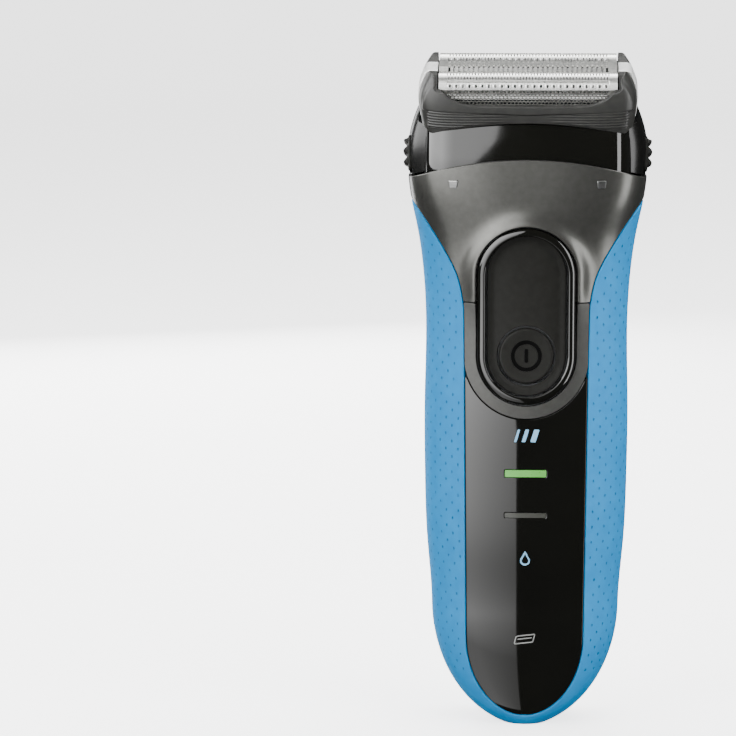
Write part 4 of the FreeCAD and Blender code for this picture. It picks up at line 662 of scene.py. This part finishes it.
def make_rear_panels():
    """The yoke and the cover that share the rear opening."""
    wide = angles_for(REAR, math.pi / 2, 330)
    skin("rear_yoke", wide, np.arange(104.0, 141.0, 0.4),
         lambda x, y, z: most(rear_area(x, z), arch(x, z), REAR_SEAM + GAP - z, 0.05 - y),
         "rear_yoke", "gunmetal_lacquer", radius=0.35, depth=1.4)
    skin("rear_cover", angles_for(REAR, math.radians(70), 190), np.arange(30.0, 108.0, 0.4),
         lambda x, y, z: most(rear_area(x, z), z - REAR_SEAM),
         "rear_cover", "gloss_black", radius=0.25, depth=1.4)


make_grip()
make_grip_pits()
make_front_panels()
make_switch()
make_lights()
make_prints()
make_rear_panels()

# ---------------------------------------------------------------- catches of the protective cap
CATCH_X, CATCH_Z, CATCH_HALF_X, CATCH_HALF_Z = 17.8, 133.9, 1.15, 0.95


def make_catches():
    """Two small metal hooks that slope out of the shoulder, wider at the top than below."""
    across, rise = np.linspace(-1.6, 1.6, 33), np.linspace(-1.4, 1.4, 29)
    half, front, _, power = (a[0] for a in handle_section(np.array([CATCH_Z])))
    for name, sign in (("left_catch", -1), ("right_catch", 1)):
        x, y = np.meshgrid(across, rise)
        face = -front * (1 - (abs(CATCH_X) / half) ** power) ** (1 / power)
        lean = 0.32 * y
        slope = (CATCH_X / half) ** (power - 1) * 0.9
        grid = np.stack([sign * CATCH_X + x, face - 0.25 - lean + sign * x * slope, CATCH_Z + y], axis=-1)
        field = round_box(x * (1.0 + 0.12 * (0.95 - y)), y, 0.0, 0.0, CATCH_HALF_X, CATCH_HALF_Z, 0.25)
        finished(patch(name, grid, field, radius=0.22, depth=1.2), "steel", "handle", "cap_catches")


make_catches()

# ---------------------------------------------------------------- head window and side buttons
# level and front depth of the head block
BLOCK = np.array([(131.0, 14.2), (139.0, 14.6), (146.0, 13.4), (157.0, 10.4)])
BEND_START, BEND_END, WINDOW_HALF, WINDOW_BOTTOM = 17.25, 29.75, 28.4, 136.0
SEAT_RISE, SEAT_HALF = 2.7, 24.8


def seat(x):
    """Level of the arched seat under the cassette, in head coordinates."""
    return SEAT_RISE - SEAT_RISE * (x / SEAT_HALF) ** 2


# the arms at the sides of the head: half width, front depth and back depth at each level
ARM_LEVELS = np.array([131.0, 138.0, 144.0, 149.0, 153.5])
ARM_HALF = np.array([28.2, 28.9, 28.8, 27.6, 25.8])
ARM_FRONT = np.array([11.0, 11.5, 12.0, 11.6, 10.0])
ARM_BACK = np.array([11.0, 10.6, 9.0, 6.4, 4.0])
ARM_ROUNDNESS, RIDGE_PITCH = 3.2, 2.7
RELEASE_Y, RELEASE_Z, RELEASE_HALF_Y, RELEASE_HALF_Z, RELEASE_RISE = 0.5, 140.2, 5.4, 4.3, 0.8


def make_release_buttons():
    """Side buttons that let the cassette go, each with three slanted ridges."""
    rise = np.arange(135.2, 145.3, 0.12)
    half = spline(ARM_LEVELS, ARM_HALF, rise)[:, None] + RELEASE_RISE - 0.35
    front = spline(ARM_LEVELS, ARM_FRONT, rise)[:, None] + RELEASE_RISE
    back = spline(ARM_LEVELS, ARM_BACK, rise)[:, None] + RELEASE_RISE
    span = np.linspace(-math.radians(21), math.radians(21), 110)
    for side, centre in (("left", math.pi), ("right", 0.0)):
        x, y = polar_section((centre + span)[None, :], half, front, back, ARM_ROUNDNESS)
        z = np.broadcast_to(rise[:, None], x.shape)
        field = round_box(y, z, RELEASE_Y, RELEASE_Z, RELEASE_HALF_Y, RELEASE_HALF_Z, 1.6)
        lean = z - RELEASE_Z + 0.22 * (y - RELEASE_Y)
        wave = 0.5 + 0.5 * np.cos(2 * math.pi * lean / RIDGE_PITCH)
        inner = np.clip(-(round_box(y, z, RELEASE_Y, RELEASE_Z, 4.5, 3.75, 1.4)) / 0.5, 0, 1)
        grid = np.stack([x, y, z], axis=-1)
        obj = patch(f"{side}_release", grid, field, relief=0.95 * wave ** 0.8 * inner - 0.2, radius=0.4,
                    depth=1.6)
        finished(obj, "matt_dark_grey", f"{side}_release", f"{side}_release_button")


def make_window():
    """The dark glossy front of the head, slightly bowed, that turns round both corners."""
    run = np.linspace(-WINDOW_HALF - 0.5, WINDOW_HALF + 0.5, 300)
    rise = np.arange(134.0, 154.5, 0.25)
    # the heading of the glass turns slowly at first and then round the corner
    away = np.abs(run)
    corner = np.clip((away - BEND_START) / (BEND_END - BEND_START), 0, 1)
    heading = 0.002 * away + (math.pi / 2 - 0.06) * corner ** 2 * (3 - 2 * corner)
    step = run[1] - run[0]
    x = np.cumsum(np.cos(heading)) * step
    x -= (x[0] + x[-1]) / 2
    back = np.cumsum(np.sin(heading) * np.sign(run)) * step
    back -= back.min()
    front = spline(BLOCK[:, 0], BLOCK[:, 1], rise)
    grid = np.zeros((len(rise), len(run), 3))
    grid[..., 0] = x
    grid[..., 1] = -front[:, None] + back
    grid[..., 2] = rise[:, None]
    dy, dz = grid[..., 1] - HEAD_Y, grid[..., 2] - HEAD_Z
    up = -dy * math.sin(HEAD_CANT) + dz * math.cos(HEAD_CANT)
    field = most(up - seat(grid[..., 0]) + 0.2, np.broadcast_to(np.abs(run), up.shape) - WINDOW_HALF,
                 WINDOW_BOTTOM - grid[..., 2])
    obj = patch("head_window", grid, field, radius=0.4, depth=1.5)
    finished(obj, "gloss_black", "handle", "head_window")


# ---------------------------------------------------------------- cassette
# All in head coordinates. CASE: level, half length and half depth. SMILE: the edge of the opening
# seen from the front. HORNS: the outline of an end, with its two horns, seen from the side.
CASE = np.array([(-0.5, 25.2, 10.4), (3.0, 25.75, 10.8), (6.5, 26.0, 10.9), (9.5, 25.4, 10.5),
                 (12.0, 24.2, 9.9), (14.2, 22.9, 9.0)])
SMILE = [(0.0, 6.5), (9.0, 6.65), (16.5, 7.4), (19.5, 9.0), (21.2, 11.8), (21.7, 14.4), (21.7, 20.0)]
HORNS = [(12.0, 8.6), (9.95, 10.0), (9.0, 12.0), (7.8, 13.2), (6.4, 13.55), (5.0, 13.4), (3.9, 12.8),
         (2.9, 12.35), (0.0, 12.3)]
CASE_ROUNDNESS = 7.0


def case_grid(angles, levels, grow):
    """Grid of points round the cassette, grown outward, in head coordinates."""
    half = spline(CASE[:, 0], CASE[:, 1], levels)[:, None] + grow
    deep = spline(CASE[:, 0], CASE[:, 2], levels)[:, None] + grow
    x, u = polar_section(angles[None, :], half, deep, deep, CASE_ROUNDNESS)
    return np.stack([x, u, np.broadcast_to(levels[:, None], x.shape)], axis=-1)


def smile_polygon():
    """The opening of the cassette seen from the front, low in the middle and high at the ends."""
    right = smooth_path(SMILE, 8)
    left = right[::-1] * np.array([-1.0, 1.0])
    return np.concatenate([right, left[:-1]])


def make_case_skin():
    """The cassette's outer skin: a plain lip, and fine ribs that die out towards the middle."""
    turns = np.linspace(0, 2 * math.pi, 1200, endpoint=False)
    px, pu = polar_section(turns, 25.8, 10.8, 10.8, CASE_ROUNDNESS)
    length = np.concatenate([[0], np.cumsum(np.hypot(np.diff(px), np.diff(pu)))])
    angles = np.interp(np.linspace(0, length[-1], 460, endpoint=False), length, turns)
    levels = np.arange(-2.2, 14.6, 0.12)
    grid = case_grid(angles, levels, 0.07)
    x, u, v = grid[..., 0], grid[..., 1], grid[..., 2]
    above_smile = -polygon_distance(x, v, smile_polygon())
    outline = smooth_path(HORNS, 6)
    outline = np.concatenate([outline, outline[::-1] * np.array([-1.0, 1.0]), [(-12.0, -9.0), (12.0, -9.0)]])
    flat_side = np.clip((np.abs(u) - 8.6) / 0.6, 0, 1)
    # at the front and back the skin hangs a little over the seat
    lower_edge = seat(x) - flat_side * (0.6 + 0.8 * (x / SEAT_HALF) ** 2)
    field = most(above_smile - 0.12, polygon_distance(u, v, outline) - 0.12, lower_edge - v)
    # level ribs that die out towards the middle and stop short of the lower edge
    reach = np.clip((np.abs(x) - 3.0) / 10.0, 0, 1) * np.clip((24.3 - np.abs(x)) / 0.8, 0, 1)
    top = 5.2 - 0.7 * np.clip(1 - np.abs(x) / 22.0, 0, 1)
    zone = np.clip((v - 0.6) / 0.2, 0, 1) * np.clip((top - v) / 0.2, 0, 1)
    groove = np.maximum(0, np.cos(2 * math.pi * (v - 0.9) / 0.72)) ** 2
    lip = np.clip((v - top) / 0.35 + 0.5, 0, 1)
    border = np.clip((v - lower_edge - 0.45) / 0.3, 0, 1)
    relief = flat_side * (0.3 * zone * border * reach * (1 - groove) + 0.34 * lip)
    obj = patch("cassette_shell", to_head(grid), field, around=True, relief=relief, radius=0.3, depth=0.95)
    finished(obj, "cassette_plastic", "cassette")


def make_end_bands():
    """A bright strip up each end of the cassette and over its top, as far as the trimmer."""
    climb = np.arange(0.5, 11.3, 0.25)
    side = spline(CASE[:, 0], CASE[:, 1], climb) + 0.42
    over = np.linspace(0, math.pi / 2, 10)
    bend = 1.4
    top_x = side[-1]
    path = list(zip(side[:-1], climb[:-1]))
    path += [(top_x - bend * (1 - math.cos(t)), climb[-1] + bend * math.sin(t)) for t in over]
    path += [(a, climb[-1] + bend) for a in np.arange(top_x - bend - 0.3, 21.3, -0.3)]
    path = np.array(path)
    across = np.linspace(-3.1, 3.1, 42)
    along = np.concatenate([[0], np.cumsum(np.hypot(*np.diff(path, axis=0).T))])
    for name, sign in (("left_band", -1), ("right_band", 1)):
        grid = np.zeros((len(path), len(across), 3))
        grid[..., 0] = sign * path[:, 0][:, None]
        grid[..., 1] = across[None, :] * sign
        grid[..., 2] = path[:, 1][:, None]
        field = most(np.broadcast_to(np.abs(across) - 2.9, grid.shape[:2]),
                     np.broadcast_to((0.3 - along)[:, None], grid.shape[:2]),
                     np.broadcast_to((along - along[-1] + 0.1)[:, None], grid.shape[:2]))
        obj = patch(name, to_head(grid), field, radius=0.18, depth=0.5)
        finished(obj, "bright_metal", "cassette", "cassette_end_bands")


# ---------------------------------------------------------------- foils
FOIL_HALF, FOIL_CREST, FOIL_SPRING, FOIL_WALL, FOIL_LENGTH = 2.95, 13.4, 10.4, 4.3, 21.3
# lengths along the section, from the crest: to the springing line, and to where each finish begins
QUARTER, BAND_START, WALL_START = 4.673, 3.0, 4.9
PERFORATED = 19.3


def slots(x, s, centre_s, pitch, half_x, half_s, shift=0.0):
    """Distance to the nearest of a row of rounded slots."""
    local = (x + shift + pitch / 2) % pitch - pitch / 2
    return round_box(local, s, 0.0, centre_s, half_x, half_s, min(half_x, half_s) * 0.98)


def make_foil(name, offset, outer, body, cad):
    """A perforated foil over its arch: fine slots on the crown, ovals below them and a mesh wall. The band is
    the crown's steel drawn lighter as painted highlight, and the wall the same steel drawn darker as painted
    shade.

    s runs over the arch from the front to the rear of the foil, and t is the same length taken
    towards the outer side of the head.
    """
    s = np.arange(-QUARTER - FOIL_WALL - 0.1, QUARTER + FOIL_WALL + 0.1, 0.12)
    xs = np.linspace(-FOIL_LENGTH - 0.1, FOIL_LENGTH + 0.1, 400)
    angle = np.clip(s / QUARTER, -1, 1) * math.pi / 2
    drop = np.maximum(np.abs(s) - QUARTER, 0)
    u = offset + FOIL_HALF * np.sin(angle)
    v = FOIL_SPRING + (FOIL_CREST - FOIL_SPRING) * np.cos(angle) - drop
    grid = np.zeros((len(s), len(xs), 3))
    grid[..., 0] = xs[None, :]
    grid[..., 1] = u[:, None]
    grid[..., 2] = v[:, None]
    x, t = np.broadcast_arrays(xs[None, :], (s * outer)[:, None])
    holes = [slots(x, t, -1.95, 0.74, 0.12, 0.48), slots(x, t, -0.65, 0.74, 0.12, 0.48, 0.37),
             slots(x, t, 0.65, 0.74, 0.12, 0.48), slots(x, t, 1.95, 0.74, 0.12, 0.48, 0.37),
             slots(x, t, 3.95, 1.55, 0.26, 0.42)]
    for row in range(5):
        holes.append(slots(x, t, QUARTER + 0.72 + 0.72 * row, 0.9, 0.36, 0.27, 0.45 * (row % 2)))
    open_area = np.minimum.reduce(holes)
    limit = np.abs(x) - PERFORATED
    whole = most(-np.maximum(open_area, limit), np.abs(x) - FOIL_LENGTH, drop[:, None] - FOIL_WALL)
    groove = -0.4 * np.exp(-((t - 3.0) / 0.28) ** 2) * (np.abs(x) < PERFORATED)
    rims = 0.12 * np.exp(-((holes[4] - 0.12) / 0.16) ** 2) * (np.abs(x) < PERFORATED)
    grid = to_head(grid)
    parts = (("crown", np.maximum(t - BAND_START, -t - QUARTER - 3.3), "foil_steel", cad),
             # the band's lighter finish is painted highlight and the wall's darker finish is painted shade
             ("band", np.maximum(BAND_START + 0.05 - t, t - WALL_START), "foil_band_highlight", None),
             ("wall", WALL_START + 0.05 - t, "foil_wall_shade", None))
    for part, limits, look, stands_for in parts:
        field = np.maximum(whole, limits)
        obj = patch(f"{name}_{part}", grid, field, relief=groove + rims, radius=0.03, depth=0.16, rings=1)
        finished(obj, look, body, stands_for)


make_release_buttons()
make_window()
make_case_skin()
make_end_bands()
make_foil("front_foil", -6.2, -1, "front_foil_unit", "front_foil")
make_foil("rear_foil", 6.2, 1, "rear_foil_unit", "rear_foil")

# ---------------------------------------------------------------- finishes of the CAD nodes that stay
for entry in frame["record"]["subparts"]:
    paint(nodes[entry["node"]], finish[entry["material_slot"]])

# two parts of the head have a look of their own
for name, look in (("head_base", "satin_black"), ("trimmer_comb", "comb_steel")):
    paint(nodes[name], finish[look])

# ---------------------------------------------------------------- floor, lights, camera
FLOOR = material("floor", linear(240, 240, 240), linear(243, 243, 243), roughness=0.6, scale=60, bump=0.05,
                 glow=((1.0, 1.0, 1.0), 2.6))


def make_floor():
    """A pale round floor that curves up into a wall far outside the object, lights and camera.

    It shows to the camera and catches shadows, and neither lights nor mirrors itself in the object.
    """
    wall, bend, height, turns = 2600.0, 600.0, 3600.0, 72
    profile = [(r, 0.0) for r in (40.0, 120.0, 300.0, 700.0, 1300.0, wall - bend)]
    profile += [(wall - bend + bend * math.sin(a), bend * (1 - math.cos(a)))
                for a in np.linspace(0.1, math.pi / 2, 12)]
    profile += [(wall, height)]
    verts = [(0.0, 0.0, 0.0)]
    verts += [(r * math.cos(2 * math.pi * i / turns), r * math.sin(2 * math.pi * i / turns), level)
              for r, level in profile for i in range(turns)]
    faces = [(0, 1 + i, 1 + (i + 1) % turns) for i in range(turns)]
    for j in range(len(profile) - 1):
        low, high = 1 + j * turns, 1 + (j + 1) * turns
        faces += [(low + i, high + i, high + (i + 1) % turns, low + (i + 1) % turns) for i in range(turns)]
    obj = new_object("floor", verts, faces)
    paint(obj, FLOOR)
    obj.visible_glossy = False
    obj.visible_diffuse = False
    obj.visible_shadow = False


def area_light(name, position, target, width, height, power):
    data = bpy.data.lights.new(name, "AREA")
    data.shape = "RECTANGLE"
    data.size, data.size_y = width * MM, height * MM
    data.energy = power
    obj = bpy.data.objects.new(name, data)
    bpy.context.scene.collection.objects.link(obj)
    obj.location = Vector(position) * MM
    aim = Vector(target) - Vector(position)
    obj.rotation_euler = aim.to_track_quat("-Z", "Y").to_euler()
    return obj


def around(azimuth, distance, level):
    """A place that far from the axis of the object. Azimuth 0 is in front and grows to the right."""
    a = math.radians(azimuth)
    return (distance * math.sin(a), -distance * math.cos(a), level)


def softbox_look():
    """Light that grows with height and away from the camera."""
    mat = bpy.data.materials.new("softbox")
    mat.use_nodes = True
    tree = mat.node_tree
    tree.nodes.clear()
    coords = tree.nodes.new("ShaderNodeTexCoord")
    split = tree.nodes.new("ShaderNodeSeparateXYZ")
    tree.links.new(coords.outputs["Object"], split.inputs["Vector"])
    ranges = []
    for axis, low, high, least, most_light in (("Z", -0.3, 0.25, 1.1, 5.6), ("X", -0.04, -0.5, 0.75, 1.5)):
        spread = tree.nodes.new("ShaderNodeMapRange")
        spread.inputs["From Min"].default_value = low
        spread.inputs["From Max"].default_value = high
        spread.inputs["To Min"].default_value = least
        spread.inputs["To Max"].default_value = most_light
        tree.links.new(split.outputs[axis], spread.inputs["Value"])
        ranges.append(spread)
    product = tree.nodes.new("ShaderNodeMath")
    product.operation = "MULTIPLY"
    for i, spread in enumerate(ranges):
        tree.links.new(spread.outputs["Result"], product.inputs[i])
    light = tree.nodes.new("ShaderNodeEmission")
    tree.links.new(product.outputs["Value"], light.inputs["Strength"])
    out = tree.nodes.new("ShaderNodeOutputMaterial")
    tree.links.new(light.outputs["Emission"], out.inputs["Surface"])
    return mat


def make_softbox():
    """The window to the left: a curved sheet of light whose near edge shows in the glossy panels."""
    # level, then the azimuths of the near and the far edge
    edge = [(-1000.0, -3.3, -58.0), (-30.0, -3.3, -58.0), (60.0, -4.9, -58.0), (90.0, -4.9, -112.0),
            (280.0, -3.9, -112.0), (445.0, -2.8, -112.0), (640.0, -2.0, -112.0)]
    columns = 16
    verts = [around(near + (far - near) * i / (columns - 1), 820.0, level)
             for level, near, far in edge for i in range(columns)]
    faces = [(j * columns + i, j * columns + i + 1, (j + 1) * columns + i + 1, (j + 1) * columns + i)
             for j in range(len(edge) - 1) for i in range(columns - 1)]
    obj = new_object("softbox", verts, faces)
    paint(obj, softbox_look())
    obj.visible_camera = False
    obj.visible_diffuse = False


make_floor()
make_softbox()
AIM = (0.0, 0.0, 85.0)
area_light("overhead", (0.0, 60.0, 760.0), (0, 0, 60), 900.0, 500.0, 4.6)
area_light("backdrop_wash", (0.0, 250.0, 800.0), (0, 600, 200), 1200.0, 500.0, 14.0)
# soft lights that leave no reflection: name, place, aim, width, height, power
for name, place, aim, width, height, power in (
        ("soft_left", around(-50.0, 620.0, 330.0), AIM, 500.0, 500.0, 7.0),
        ("soft_right", around(55.0, 620.0, 330.0), AIM, 500.0, 500.0, 7.6),
        ("soft_rear", around(200.0, 640.0, 260.0), AIM, 500.0, 400.0, 6.0),
        ("soft_low", around(-8.0, 600.0, -110.0), (0, 0, 40), 600.0, 200.0, 1.9)):
    area_light(name, place, aim, width, height, power).visible_glossy = False
# strips that only show as reflections
for name, place, aim, width, height, power in (
        ("strip_right", around(64.0, 520.0, 150.0), (0, 0, 110), 170.0, 700.0, 2.6),
        ("strip_rear", around(215.0, 620.0, 0.0), (0, 0, 90), 160.0, 600.0, 1.4)):
    area_light(name, place, aim, width, height, power).visible_diffuse = False

world = bpy.data.worlds.new("world")
world.use_nodes = True
world.node_tree.nodes["Background"].inputs["Color"].default_value = (0.9, 0.95, 1.0, 1.0)
world.node_tree.nodes["Background"].inputs["Strength"].default_value = 0.05
bpy.context.scene.world = world

# the camera turns a little to the left, so that the shaver stands at the right of the picture
LENS, SENSOR, VIEW_WIDTH, SIDE_SHIFT = 175.0, 36.0, 179.0, 38.9
CAMERA_ELEVATION = math.radians(8.4)
LOOK_AT = Vector((0.0, -8.0, 88.4))
distance = VIEW_WIDTH * LENS / SENSOR
camera_data = bpy.data.cameras.new("camera")
camera_data.lens = LENS
camera = bpy.data.objects.new("camera", camera_data)
bpy.context.scene.collection.objects.link(camera)
backward = Vector((0, -math.cos(CAMERA_ELEVATION), math.sin(CAMERA_ELEVATION)))
camera.location = (LOOK_AT + distance * backward) * MM
camera.rotation_euler = (math.pi / 2 - CAMERA_ELEVATION, 0.0, math.atan2(SIDE_SHIFT, distance))
bpy.context.scene.camera = camera
